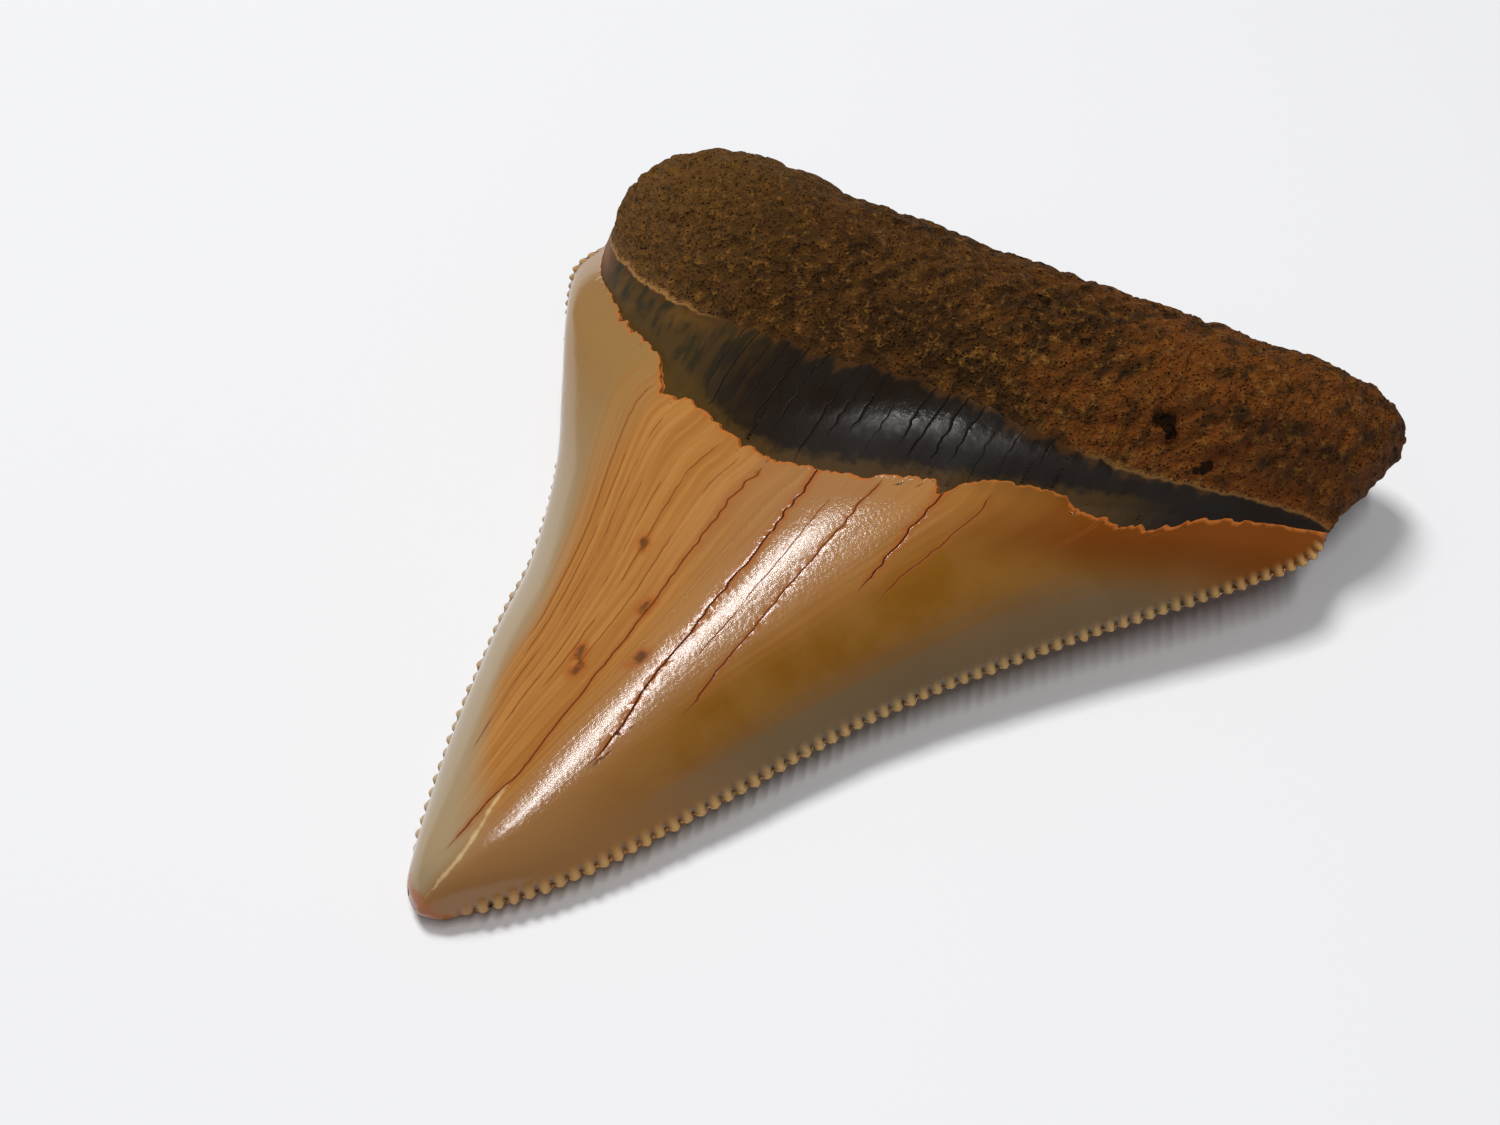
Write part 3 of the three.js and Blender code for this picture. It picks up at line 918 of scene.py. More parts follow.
class Effects:
    """Shader groups that more than one finish uses."""

    def __init__(self) -> None:
        """Builds every group once."""
        self.place = self._place()
        self.streaks = self._streaks()
        self.cracks = self._cracks()
        self.grain = self._grain()
        self.band_end = self._band_end()

    @staticmethod
    def _group(
        name: str, inputs: dict[str, float], outputs: tuple[str, ...]
    ) -> tuple[Any, NodeGraph, Any, Any]:
        """Starts a group.

        Args:
            name: Name of the group.
            inputs: Its inputs with their usual values.
            outputs: Its outputs.

        Returns:
            The group, a graph to work in, the outputs of its input node and the inputs of its output node.
        """
        group = bpy.data.node_groups.new(name, "ShaderNodeTree")
        for key, usual in inputs.items():
            socket = group.interface.new_socket(name=key, in_out="INPUT", socket_type="NodeSocketFloat")
            socket.default_value = usual
        for key in outputs:
            group.interface.new_socket(name=key, in_out="OUTPUT", socket_type="NodeSocketFloat")
        graph = NodeGraph(group)
        return group, graph, graph.add("NodeGroupInput").outputs, graph.add("NodeGroupOutput").inputs

    def _place(self) -> bpy.types.NodeTree:
        """Makes the group that gives the column and the row."""
        group, graph, _, out = self._group("tooth_place", {}, ("Column", "Row"))
        split = graph.add("ShaderNodeSeparateXYZ")
        graph.feed(split.inputs[0], graph.add("ShaderNodeUVMap", uv_map=PLACE_MAP).outputs[0])
        graph.feed(out["Column"], split.outputs[0])
        graph.feed(out["Row"], split.outputs[1])
        return group

    def _streaks(self) -> bpy.types.NodeTree:
        """Makes the group of streaks that run along the tooth."""
        group, graph, given, out = self._group(
            "axial_streaks", {"Across": 80.0, "Along": 3.0, "Seed": 0.0}, ("Streak",)
        )
        split = graph.add("ShaderNodeSeparateXYZ")
        graph.feed(split.inputs[0], graph.add("ShaderNodeUVMap", uv_map=PLACE_MAP).outputs[0])
        left_of = graph.math("MAXIMUM", graph.math("SUBTRACT", LEAN_COLUMN, split.outputs[0]), 0.0)
        below = graph.math("MAXIMUM", graph.math("SUBTRACT", 1.0, split.outputs[1]), 0.0)
        lean = graph.math("MULTIPLY", graph.math("MULTIPLY", left_of, below), LEAN)
        across = graph.math("MULTIPLY", graph.math("ADD", split.outputs[0], lean), given["Across"])
        along = graph.math("MULTIPLY", split.outputs[1], given["Along"])
        graph.feed(out["Streak"], graph.noise(graph.combine(across, along, 0.0), 1.0, 3.0, given["Seed"]))
        return group

    def _cracks(self) -> bpy.types.NodeTree:
        """Makes the group that draws the cracks and the stain beside them."""
        group, graph, given, out = self._group(
            "crack_lines", {"Half Width": 0.06, "Stain Width": 0.4, "Jag": 0.08}, ("Line", "Stain")
        )
        gap = graph.add("ShaderNodeAttribute", attribute_name=Mark.CRACK_GAP.value).outputs["Fac"]
        gain = graph.add("ShaderNodeAttribute", attribute_name=Mark.CRACK_GAIN.value).outputs["Fac"]
        spot = graph.vector("SCALE", graph.add("ShaderNodeTexCoord").outputs["Object"], scale=1000.0)
        jag = graph.math("SUBTRACT", graph.noise(spot, 3.0, 3.0), 0.5)
        away = graph.math("ABSOLUTE", graph.math("MULTIPLY_ADD", jag, given["Jag"], gap))
        half = graph.math("MULTIPLY", given["Half Width"], graph.math("MULTIPLY_ADD", gain, 0.5, 0.5))
        line = graph.fade(away, graph.math("MULTIPLY", half, 0.4), half)
        drawn_out = graph.vector("MULTIPLY", spot, (1.0, 0.35, 1.0))
        broken = graph.ease(graph.noise(drawn_out, 0.9, 3.0, 2.0), 0.36, 0.52)
        whole = graph.math("MAXIMUM", broken, graph.ease(gain, 0.4, 0.6))
        faint = graph.math("MULTIPLY_ADD", gain, 0.6, 0.4)
        seen = graph.math("MULTIPLY", graph.math("MULTIPLY", graph.ease(gain, 0.02, 0.2), whole), faint)
        graph.feed(out["Line"], graph.math("MULTIPLY", line, seen))
        stain = graph.fade(away, 0.0, graph.math("MULTIPLY", given["Stain Width"], gain))
        graph.feed(out["Stain"], graph.math("MULTIPLY", stain, seen))
        return group

    def _grain(self) -> bpy.types.NodeTree:
        """Makes the group of mineral grain and pores."""
        group, graph, given, out = self._group(
            "mineral_grain", {"Size": 0.4, "Seed": 0.0}, ("Grain", "Pores", "Clouds")
        )
        spot = graph.vector("SCALE", graph.add("ShaderNodeTexCoord").outputs["Object"], scale=1000.0)
        scale = graph.math("DIVIDE", 1.0, given["Size"])
        graph.feed(out["Grain"], graph.noise(spot, scale, 4.0, given["Seed"]))
        warped = graph.vector("ADD", spot, graph.vector("SCALE", graph.combine(0.3, 0.2, 0.1),
                                                        scale=graph.noise(spot, 3.0, 2.0, given["Seed"])))
        graph.feed(out["Pores"], graph.fade(graph.cells(warped, scale, given["Seed"]), 0.12, 0.42))
        broad = graph.math("DIVIDE", 0.12, given["Size"])
        graph.feed(out["Clouds"], graph.noise(spot, broad, 3.0, given["Seed"]))
        return group

    def _band_end(self) -> bpy.types.NodeTree:
        """Makes the group for where the band meets the root: how far the torn end is, and a pale line."""
        group, graph, given, out = self._group(
            "band_end",
            {"Streak": 0.5, "Grain": 0.5, "Grain Share": 0.4, "Side": 1.0, "Near": 0.25, "Far": 0.5,
             "Left End": 0.24},
            ("Torn", "Line"),
        )
        gap = graph.add("ShaderNodeAttribute", attribute_name=Mark.BAND_GAP.value).outputs["Fac"]
        ragged = graph.math("SUBTRACT", given["Streak"], 0.5)
        graph.feed(out["Torn"], graph.math("MULTIPLY_ADD", ragged, 4.0, gap))
        split = graph.add("ShaderNodeSeparateXYZ")
        graph.feed(split.inputs[0], graph.add("ShaderNodeUVMap", uv_map=PLACE_MAP).outputs[0])
        inward = graph.math("MULTIPLY", gap, given["Side"])
        away = graph.math("MULTIPLY_ADD", given["Grain"], given["Grain Share"], inward)
        line = graph.fade(away, given["Near"], given["Far"])
        left = graph.fade(split.outputs[0], given["Left End"], graph.math("ADD", given["Left End"], 0.1))
        right = graph.math("MULTIPLY", graph.ease(split.outputs[0], 0.7, 0.78), 0.5)
        graph.feed(out["Line"], graph.math("MULTIPLY", line, graph.math("MAXIMUM", left, right)))
        return group


class Paint:
    """One material under work: its graph, its shader and where it is on the tooth."""

    def __init__(self, name: str, effects: Effects) -> None:
        """Starts a material.

        Args:
            name: Name of the material.
            effects: The shared groups.
        """
        self.material = bpy.data.materials.new(name)
        self.material.use_nodes = True
        self.graph = NodeGraph(self.material.node_tree)
        self.shader = self.material.node_tree.nodes["Principled BSDF"]
        self.effects = effects
        place = self.group(effects.place)
        self.column, self.row = place["Column"], place["Row"]

    def group(self, tree: bpy.types.NodeTree, **inputs: Any) -> Any:
        """Places a shared group with its values and gives its outputs."""
        node = self.graph.add("ShaderNodeGroup", node_tree=tree)
        for key, value in inputs.items():
            self.graph.feed(node.inputs[key.replace("_", " ").title()], value)
        return node.outputs

    def value(self, name: str) -> bpy.types.NodeSocket:
        """Reads one of the mesh's own values."""
        return self.graph.add("ShaderNodeAttribute", attribute_name=name).outputs["Fac"]

    def bump(self, height: bpy.types.NodeSocket, strength: float, distance: float) -> None:
        """Gives the surface fine relief.

        Args:
            height: Heights from 0 to 1.
            strength: Strength of the bump.
            distance: Height of the relief, in millimetres.
        """
        node = self.graph.add("ShaderNodeBump")
        node.inputs["Strength"].default_value = strength
        node.inputs["Distance"].default_value = distance * METRES
        self.graph.feed(node.inputs["Height"], height)
        self.graph.feed(self.shader.inputs["Normal"], node.outputs[0])


@dataclass(frozen=True)
class EnamelFinish:
    """Polished enamel, golden brown with streaks along the tooth and stained cracks."""

    golden: Colour = (182, 126, 62)
    toffee: Colour = (162, 104, 44)
    # Pale and beige: the left flank's own grey-beige, partly painted reflection of the pale room.
    pale: Colour = (164, 144, 110)
    beige: Colour = (150, 114, 64)
    rosy: Colour = (164, 118, 74)
    # Olive and honey: the right side's own colour, partly darker as painted shade on the side turned away
    # from the light.
    olive: Colour = (146, 98, 36)
    honey: Colour = (136, 86, 10)
    # Slate: grey near the right edge, partly the enamel's own grey, partly painted reflection of the sky.
    slate_and_sky_sheen: Colour = (118, 101, 76)
    orange: Colour = (116, 56, 0)
    rim_orange: Colour = (188, 106, 42)
    mauve: Colour = (160, 114, 68)
    cream: Colour = (222, 192, 138)
    pearl: Colour = (206, 164, 104)
    gap_brown: Colour = (84, 54, 28)
    crack_brown: Colour = (54, 28, 12)
    stain: Colour = (168, 88, 30)
    roughness: float = 0.13

    def material(self, effects: Effects) -> bpy.types.Material:
        """Makes the enamel's material."""
        paint = Paint("polished_enamel", effects)
        colour = self._markings(paint, self._ground(paint))
        paint.graph.feed(paint.shader.inputs["Base Color"], colour)
        self._surface(paint)
        return paint.material

    def _ground(self, paint: Paint) -> bpy.types.NodeSocket:
        """Lays the broad zones of colour; the pale left flank and the grey by the right edge are partly
        painted reflection, and the darker right side is partly painted shade.

        Args:
            paint: The material under work.

        Returns:
            The colour so far.
        """
        graph, column, row = paint.graph, paint.column, paint.row
        fine = paint.group(paint.effects.streaks, across=120.0, along=2.5, seed=1.0)["Streak"]
        broad = paint.group(paint.effects.streaks, across=26.0, along=1.6, seed=2.0)["Streak"]
        clouds = paint.group(paint.effects.grain, size=0.5, seed=3.0)["Clouds"]
        tone = graph.math("MULTIPLY_ADD", fine, 0.7, graph.math("MULTIPLY", broad, 0.3))
        colour = graph.blend(graph.ease(tone, 0.36, 0.64), linear(self.toffee), linear(self.golden))
        wavy = graph.math("MULTIPLY_ADD", graph.math("SUBTRACT", broad, 0.5), 0.1, column)
        # Pale left flank, wider near the tip: partly the enamel's own grey-beige, partly painted reflection
        # of the pale room on the flank that faces left.
        limit = graph.math("MULTIPLY_ADD", graph.ease(row, 0.6, 1.0), 0.08, 0.23)
        limit = graph.math("MULTIPLY_ADD", graph.fade(row, 0.0, 0.34), 0.5, limit)
        soft = graph.math("MULTIPLY_ADD", graph.fade(row, 0.1, 0.4), 0.12, 0.05)
        pale = graph.fade(graph.math("SUBTRACT", wavy, limit), graph.math("MULTIPLY", soft, -1.0), soft)
        pale_flank_and_sheen = graph.blend(graph.ease(row, 0.5, 0.95), linear(self.pale), linear(self.beige))
        colour = graph.blend(graph.math("MULTIPLY", pale, 0.9), colour, pale_flank_and_sheen)
        ridge = graph.math("MULTIPLY_ADD", row, -0.12, 0.66)
        rosy = graph.fade(graph.math("ABSOLUTE", graph.math("SUBTRACT", column, ridge)), 0.02, 0.12)
        colour = graph.tint(rosy, 0.7, colour, self.rosy)
        # Right side in olive and honey: partly the enamel's own colour, partly painted shade on the side
        # turned away from the light.
        deep = graph.blend(graph.ease(clouds, 0.4, 0.62), linear(self.olive), linear(self.honey))
        colour = graph.blend(graph.ease(wavy, 0.6, 0.74), colour, deep)
        # Grey near the right edge: partly the enamel's own grey, partly painted reflection of the sky.
        grey_and_sky_sheen = graph.math("MULTIPLY", graph.ease(wavy, 0.78, 0.93), graph.between(row, 0.22, 0.86, 0.1))
        colour = graph.tint(grey_and_sky_sheen, 0.8, colour, self.slate_and_sky_sheen)
        mauve = graph.math("MULTIPLY", graph.fade(row, 0.15, 0.4), graph.ease(column, 0.6, 0.72))
        colour = graph.tint(mauve, 0.8, colour, self.mauve)
        glow = graph.math("MULTIPLY", graph.ease(row, 0.8, 0.95), graph.ease(wavy, 0.62, 0.8))
        return graph.tint(glow, 0.9, colour, self.orange)

    def _markings(self, paint: Paint, colour: bpy.types.NodeSocket) -> bpy.types.NodeSocket:
        """Adds the rim, dashes, specks, cracks and serrations.

        Args:
            paint: The material under work.
            colour: The colour of the ground.

        Returns:
            The finished colour.
        """
        graph, column, row = paint.graph, paint.column, paint.row
        dashes = paint.group(paint.effects.streaks, across=150.0, along=8.0, seed=5.0)["Streak"]
        dark = graph.math("MULTIPLY", graph.ease(dashes, 0.58, 0.7), graph.between(column, 0.24, 0.52, 0.05))
        colour = graph.tint(dark, 0.35, colour, self.stain)
        grain = paint.group(paint.effects.grain, size=0.5, seed=8.0)["Grain"]
        rim = graph.fade(graph.math("MULTIPLY_ADD", grain, 0.5, paint.value(Mark.RIM_GAP.value)), 0.2, 0.5)
        colour = graph.tint(rim, 0.85, colour, self.rim_orange)
        ragged = graph.math("MULTIPLY_ADD", graph.math("SUBTRACT", grain, 0.5), 2.4, 0.8)
        speck = graph.math("MULTIPLY", paint.value(Mark.SPECK.value), ragged)
        colour = graph.tint(graph.ease(speck, 0.02, 0.4), 0.6, colour, self.stain)
        colour = graph.tint(graph.ease(speck, 0.3, 0.8), 0.8, colour, self.gap_brown)
        flake = graph.math("MULTIPLY_ADD", grain, 0.3, graph.math("ABSOLUTE", paint.value(Mark.FLAKE.value)))
        colour = graph.tint(graph.fade(flake, 0.13, 0.3), 0.85, colour, self.cream)
        crack = paint.group(paint.effects.cracks, half_width=0.065, stain_width=0.4, jag=0.07)
        colour = graph.tint(crack["Stain"], 0.75, colour, self.stain)
        colour = graph.tint(crack["Line"], 0.92, colour, self.crack_brown)
        colour = graph.tint(paint.value(RIB_CREST), 0.85, colour, self.pearl)
        colour = graph.tint(paint.value(RIB_GAP), 0.6, colour, self.gap_brown)
        chip = graph.math("MULTIPLY_ADD", grain, 0.03, graph.math("MULTIPLY_ADD", column, 0.02, row))
        return graph.tint(graph.fade(chip, 0.034, 0.05), 0.8, colour, self.stain)

    def _surface(self, paint: Paint) -> None:
        """Gives the polish, pebbled by fine relief and broken by the cracks."""
        graph = paint.graph
        grain = paint.group(paint.effects.grain, size=0.22, seed=9.0)["Grain"]
        crack = paint.group(paint.effects.cracks, half_width=0.065, stain_width=0.4, jag=0.07)["Line"]
        worn = graph.math("MULTIPLY_ADD", graph.math("SUBTRACT", grain, 0.5), 0.12, self.roughness)
        worn = graph.math("MAXIMUM", worn, graph.math("MULTIPLY", crack, 0.8))
        graph.feed(paint.shader.inputs["Roughness"], worn)
        streak = paint.group(paint.effects.streaks, across=110.0, along=4.0, seed=6.0)["Streak"]
        relief = graph.math("MULTIPLY_ADD", streak, 0.5, grain)
        paint.bump(graph.math("MULTIPLY_ADD", crack, -0.2, relief), 0.22, 0.05)
        whole = graph.math("SUBTRACT", 1.0, crack)
        graph.feed(paint.shader.inputs["Specular IOR Level"], graph.math("MULTIPLY", whole, 0.4))
        graph.feed(paint.shader.inputs["Coat Weight"], graph.math("MULTIPLY", whole, 0.25))
        paint.shader.inputs["Coat Roughness"].default_value = 0.1


@dataclass(frozen=True)
class BandFinish:
    """The smooth band under the enamel, nearly black and cracked along the tooth."""

    black: Colour = (28, 18, 9)
    blue_black: Colour = (32, 25, 19)
    olive: Colour = (78, 56, 20)
    moss: Colour = (48, 39, 18)
    ochre: Colour = (120, 80, 28)
    umber: Colour = (72, 45, 17)
    rust: Colour = (128, 74, 28)
    crack_black: Colour = (10, 6, 3)
    pale_line: Colour = (150, 106, 56)
    roughness: float = 0.2

    def material(self, effects: Effects) -> bpy.types.Material:
        """Makes the band's material."""
        paint = Paint("dark_band", effects)
        graph, column, row = paint.graph, paint.column, paint.row
        grain = paint.group(effects.grain, size=0.45, seed=21.0)
        streak = paint.group(effects.streaks, across=60.0, along=9.0, seed=22.0)["Streak"]
        crack = paint.group(effects.cracks, half_width=0.065, stain_width=0.3, jag=0.12)
        cloudy = graph.ease(grain["Clouds"], 0.4, 0.6)
        colour = graph.blend(cloudy, linear(self.black), linear(self.blue_black))
        wavy = graph.math("MULTIPLY_ADD", graph.math("SUBTRACT", grain["Clouds"], 0.5), 0.2, column)
        left = graph.fade(wavy, 0.3, 0.43)
        moss = graph.blend(graph.ease(streak, 0.42, 0.58), linear(self.moss), linear(self.olive))
        colour = graph.blend(graph.math("MULTIPLY", left, 0.9), colour, moss)
        patches = graph.ease(grain["Clouds"], 0.52, 0.62)
        patches = graph.math("MULTIPLY", patches, graph.fade(column, 0.22, 0.36))
        colour = graph.tint(patches, 0.7, colour, self.ochre)
        colour = graph.tint(graph.fade(column, 0.05, 0.13), 0.8, colour, self.rust)
        fringe_row = graph.math("MULTIPLY_ADD", graph.math("SUBTRACT", grain["Grain"], 0.5), 0.06, row)
        fringe = graph.math("MULTIPLY", graph.fade(fringe_row, 1.025, 1.06), graph.fade(column, 0.74, 0.86))
        colour = graph.tint(fringe, 0.85, colour, self.olive)
        end = paint.group(
            effects.band_end, streak=streak, grain=grain["Grain"], grain_share=0.4, side=-1.0,
            near=0.25, far=0.5, left_end=0.24,
        )
        colour = graph.tint(graph.ease(end["Torn"], -0.7, 0.1), 0.8, colour, self.umber)
        colour = graph.blend(end["Line"], colour, linear(self.pale_line))
        colour = graph.blend(crack["Line"], colour, linear(self.crack_black))
        graph.feed(paint.shader.inputs["Base Color"], colour)
        low = graph.fade(fringe_row, 1.08, 1.17)
        paint.shader.inputs["Specular IOR Level"].default_value = 0.3
        dull = graph.math("MULTIPLY_ADD", graph.math("MAXIMUM", left, low), 0.4, self.roughness)
        graph.feed(paint.shader.inputs["Roughness"], graph.math("MAXIMUM", dull, crack["Line"]))
        relief = graph.math("MULTIPLY_ADD", streak, 0.5, grain["Grain"])
        paint.bump(graph.math("MULTIPLY_ADD", crack["Line"], -0.6, relief), 0.35, 0.07)
        return paint.material


@dataclass(frozen=True)
class RootFinish:
    """The rough root, dark brown with rusty grains and open pores."""

    umber: Colour = (84, 53, 21)
    dark: Colour = (54, 34, 14)
    ochre: Colour = (136, 92, 40)
    lobe: Colour = (120, 84, 40)
    rust: Colour = (126, 66, 20)
    # Near black of the pores and pits, also laid as painted shade in the root's low grain.
    pore_and_hollow_shade: Colour = (20, 11, 4)
    pale_line: Colour = (150, 106, 56)
    roughness: float = 0.8

    def material(self, effects: Effects) -> bpy.types.Material:
        """Makes the root's material."""
        paint = Paint("rough_root", effects)
        graph, column, row = paint.graph, paint.column, paint.row
        coarse = paint.group(effects.grain, size=0.9, seed=31.0)
        medium = paint.group(effects.grain, size=0.6, seed=33.0)
        fine = paint.group(effects.grain, size=0.2, seed=32.0)
        streak = paint.group(effects.streaks, across=55.0, along=11.0, seed=34.0)["Streak"]
        tone = graph.math("MULTIPLY_ADD", streak, 0.6, graph.math("MULTIPLY", coarse["Clouds"], 0.4))
        tone = graph.math("MULTIPLY_ADD", graph.ease(column, 0.6, 0.85), 0.06, tone)
        colour = graph.blend(graph.ease(tone, 0.4, 0.62), linear(self.dark), linear(self.umber))
        lobe = graph.fade(graph.math("MULTIPLY_ADD", coarse["Clouds"], 0.2, column), 0.16, 0.5)
        colour = graph.tint(lobe, 0.6, colour, self.lobe)
        reddish = graph.math("MULTIPLY", graph.ease(tone, 0.46, 0.62), graph.ease(column, 0.45, 0.75))
        colour = graph.tint(reddish, 0.55, colour, self.rust)
        grains = graph.math("MULTIPLY_ADD", fine["Grain"], 0.4, graph.math("MULTIPLY", medium["Grain"], 0.6))
        colour = graph.tint(graph.ease(grains, 0.5, 0.68), 0.85, colour, self.ochre)
        # Darker where the grain relief is low, less so towards the right end: partly the root's dark grain,
        # partly painted shade in the hollows.
        calm = graph.math("MULTIPLY_ADD", graph.fade(column, 0.6, 0.8), 0.35, 0.25)
        hollow_dark_and_shade = graph.math("MULTIPLY", graph.fade(grains, 0.34, 0.47), calm)
        colour = graph.blend(hollow_dark_and_shade, colour, linear(self.pore_and_hollow_shade))
        end = paint.group(
            effects.band_end, streak=streak, grain=fine["Grain"], grain_share=0.5, side=1.0,
            near=0.3, far=0.6, left_end=0.22,
        )
        middle = graph.between(column, 0.36, 0.72, 0.06)
        torn = graph.math("MULTIPLY", graph.fade(end["Torn"], -0.1, 1.0), middle)
        colour = graph.tint(torn, 0.7, colour, self.dark)
        patch = graph.math("MULTIPLY", graph.between(column, 0.88, 0.97, 0.03), graph.fade(row, 1.13, 1.2))
        colour = graph.tint(patch, 0.6, colour, self.rust)
        colour = graph.blend(end["Line"], colour, linear(self.pale_line))
        colour = graph.tint(fine["Pores"], 0.8, colour, self.pore_and_hollow_shade)
        uneven = graph.math("SUBTRACT", fine["Grain"], 0.5)
        pit = graph.math("MULTIPLY_ADD", uneven, 0.5, paint.value(Mark.PIT.value))
        colour = graph.tint(graph.ease(pit, 0.1, 0.4), 0.9, colour, self.pore_and_hollow_shade)
        graph.feed(paint.shader.inputs["Base Color"], colour)
        paint.shader.inputs["Roughness"].default_value = self.roughness
        paint.shader.inputs["Specular IOR Level"].default_value = 0.15
        relief = graph.math("MULTIPLY_ADD", fine["Pores"], -0.5, graph.math("MULTIPLY", fine["Grain"], 0.6))
        paint.bump(graph.math("MULTIPLY_ADD", medium["Grain"], 1.6, relief), 1.0, 0.45)
        return paint.material


@dataclass
class ReliefTree:
    """Geometry Nodes that raise the serrations, roughen the root and give each surface its material."""

    pitch: float = 0.78
    bead_height: float = 0.3
    rib_depth: float = 0.17
    rib_length: float = 0.6
    lump_depth: float = 0.22
    grit_depth: float = 0.32
    pore_depth: float = 0.2
    swell: float = 0.15
    seed: float = 4.0

    def __post_init__(self) -> None:
        """Builds the tree."""
        self.tree = bpy.data.node_groups.new("tooth_relief", "GeometryNodeTree")
        self.sockets: dict[str, str] = {}
        self.graph = NodeGraph(self.tree)
        self._interface()
        given = self.graph.add("NodeGroupInput").outputs
        flow = self._serrations(given["Geometry"], given)
        flow = self._roughness(flow, given)
        self._finish(flow, given)

    def _interface(self) -> None:
        """Names the tree's inputs and its output."""
        sizes = ("Pitch", "Bead Height", "Rib Depth", "Rib Length", "Lump Depth", "Grit Depth", "Pore Depth",
                 "Swell", "Seed")
        kinds = [("Geometry", "NodeSocketGeometry")]
        kinds += [(name, "NodeSocketFloat") for name in sizes]
        kinds += [(zone.name.title(), "NodeSocketMaterial") for zone in Zone]
        for name, kind in kinds:
            socket = self.tree.interface.new_socket(name=name, in_out="INPUT", socket_type=kind)
            self.sockets[name] = socket.identifier
        self.tree.interface.new_socket(name="Geometry", in_out="OUTPUT", socket_type="NodeSocketGeometry")

    def _read(self, name: str, kind: str = "FLOAT") -> bpy.types.NodeSocket:
        """Reads one of the mesh's own values."""
        node = self.graph.add("GeometryNodeInputNamedAttribute", data_type=kind)
        node.inputs["Name"].default_value = name
        return node.outputs[0]

    def _store(
        self, flow: bpy.types.NodeSocket, name: str, value: bpy.types.NodeSocket
    ) -> bpy.types.NodeSocket:
        """Keeps a value on the mesh for the materials."""
        node = self.graph.add("GeometryNodeStoreNamedAttribute", data_type="FLOAT", domain="POINT")
        self.graph.feed(node.inputs["Geometry"], flow)
        node.inputs["Name"].default_value = name
        self.graph.feed(node.inputs["Value"], value)
        return node.outputs[0]

    def _move(self, flow: bpy.types.NodeSocket, offset: bpy.types.NodeSocket) -> bpy.types.NodeSocket:
        """Moves the points by an offset in metres."""
        node = self.graph.add("GeometryNodeSetPosition")
        self.graph.feed(node.inputs["Geometry"], flow)
        self.graph.feed(node.inputs["Offset"], offset)
        return node.outputs[0]

    def _serrations(self, flow: bpy.types.NodeSocket, given: Any) -> bpy.types.NodeSocket:
        """Pushes a bead out of the cutting edge at every pitch, with a rib behind it.

        Args:
            flow: The mesh so far.
            given: The tree's inputs.

        Returns:
            The mesh with its serrations.
        """
        graph = self.graph
        gap, fade = self._read(Mark.EDGE_GAP.value), self._read(Mark.EDGE_FADE.value)
        count = graph.math("DIVIDE", self._read(Mark.EDGE_RUN.value), given["Pitch"])
        bead = graph.math("ABSOLUTE", graph.math("SINE", graph.math("MULTIPLY", count, math.pi)))
        odd = graph.add("ShaderNodeTexWhiteNoise", noise_dimensions="1D")
        graph.feed(odd.inputs["W"], graph.math("ADD", graph.math("FLOOR", count), given["Seed"]))
        size = graph.math("MULTIPLY_ADD", odd.outputs["Value"], 0.35, 0.65)
        near = graph.math("MULTIPLY", graph.fade(gap, 0.0, 0.7), fade)
        reach = graph.math("MULTIPLY", near, given["Bead Height"])
        push = graph.math("MULTIPLY", graph.math("MULTIPLY", bead, size), reach)
        outward = graph.vector("SCALE", self._read(EDGE_OUT, "FLOAT_VECTOR"), scale=push)
        ribbed = graph.math("MULTIPLY", graph.fade(gap, 0.1, given["Rib Length"]), fade)
        valley = graph.math("MULTIPLY", graph.math("SUBTRACT", 1.0, bead), ribbed)
        faced = graph.math("ABSOLUTE", self._read(Mark.SIDE.value))
        drop = graph.math("MULTIPLY", graph.math("MULTIPLY", valley, given["Rib Depth"]), faced)
        normal = graph.add("GeometryNodeInputNormal").outputs[0]
        down = graph.vector("SCALE", normal, scale=graph.math("MULTIPLY", drop, -1.0))
        flow = self._store(flow, RIB_CREST, graph.math("MULTIPLY", graph.math("POWER", bead, 2.0), ribbed))
        flow = self._store(flow, RIB_GAP, graph.math("MULTIPLY", graph.fade(bead, 0.1, 0.75), ribbed))
        return self._move(flow, graph.vector("SCALE", graph.vector("ADD", outward, down), scale=METRES))

    def _roughness(self, flow: bpy.types.NodeSocket, given: Any) -> bpy.types.NodeSocket:
        """Sinks lumps, grit and pores into the root.

        Args:
            flow: The mesh so far.
            given: The tree's inputs.

        Returns:
            The mesh with its rough root.
        """
        graph = self.graph
        spot = graph.vector("SCALE", graph.add("GeometryNodeInputPosition").outputs[0], scale=1.0 / METRES)
        lumps = graph.ease(graph.noise(spot, 0.32, 2.0, given["Seed"]), 0.7, 0.3)
        drawn_out = graph.vector("MULTIPLY", spot, (1.0, 0.55, 1.0))
        grit = graph.ease(graph.noise(drawn_out, 1.2, 3.0, given["Seed"]), 0.66, 0.34)
        gate = graph.ease(graph.noise(spot, 0.5, 1.0, given["Seed"]), 0.42, 0.6)
        pores = graph.math("MULTIPLY", graph.fade(graph.cells(spot, 1.3, given["Seed"]), 0.12, 0.4), gate)
        depth = graph.math("MULTIPLY", lumps, given["Lump Depth"])
        depth = graph.math("MULTIPLY_ADD", grit, given["Grit Depth"], depth)
        depth = graph.math("MULTIPLY_ADD", pores, given["Pore Depth"], depth)
        upper = graph.math("GREATER_THAN", self._read(Mark.SIDE.value), -0.5)
        depth = graph.math("SUBTRACT", depth, graph.math("MULTIPLY", upper, given["Swell"]))
        inward = graph.math("MULTIPLY", graph.math("MULTIPLY", depth, self._read(Mark.ROUGH.value)), -METRES)
        normal = graph.add("GeometryNodeInputNormal").outputs[0]
        return self._move(flow, graph.vector("SCALE", normal, scale=inward))

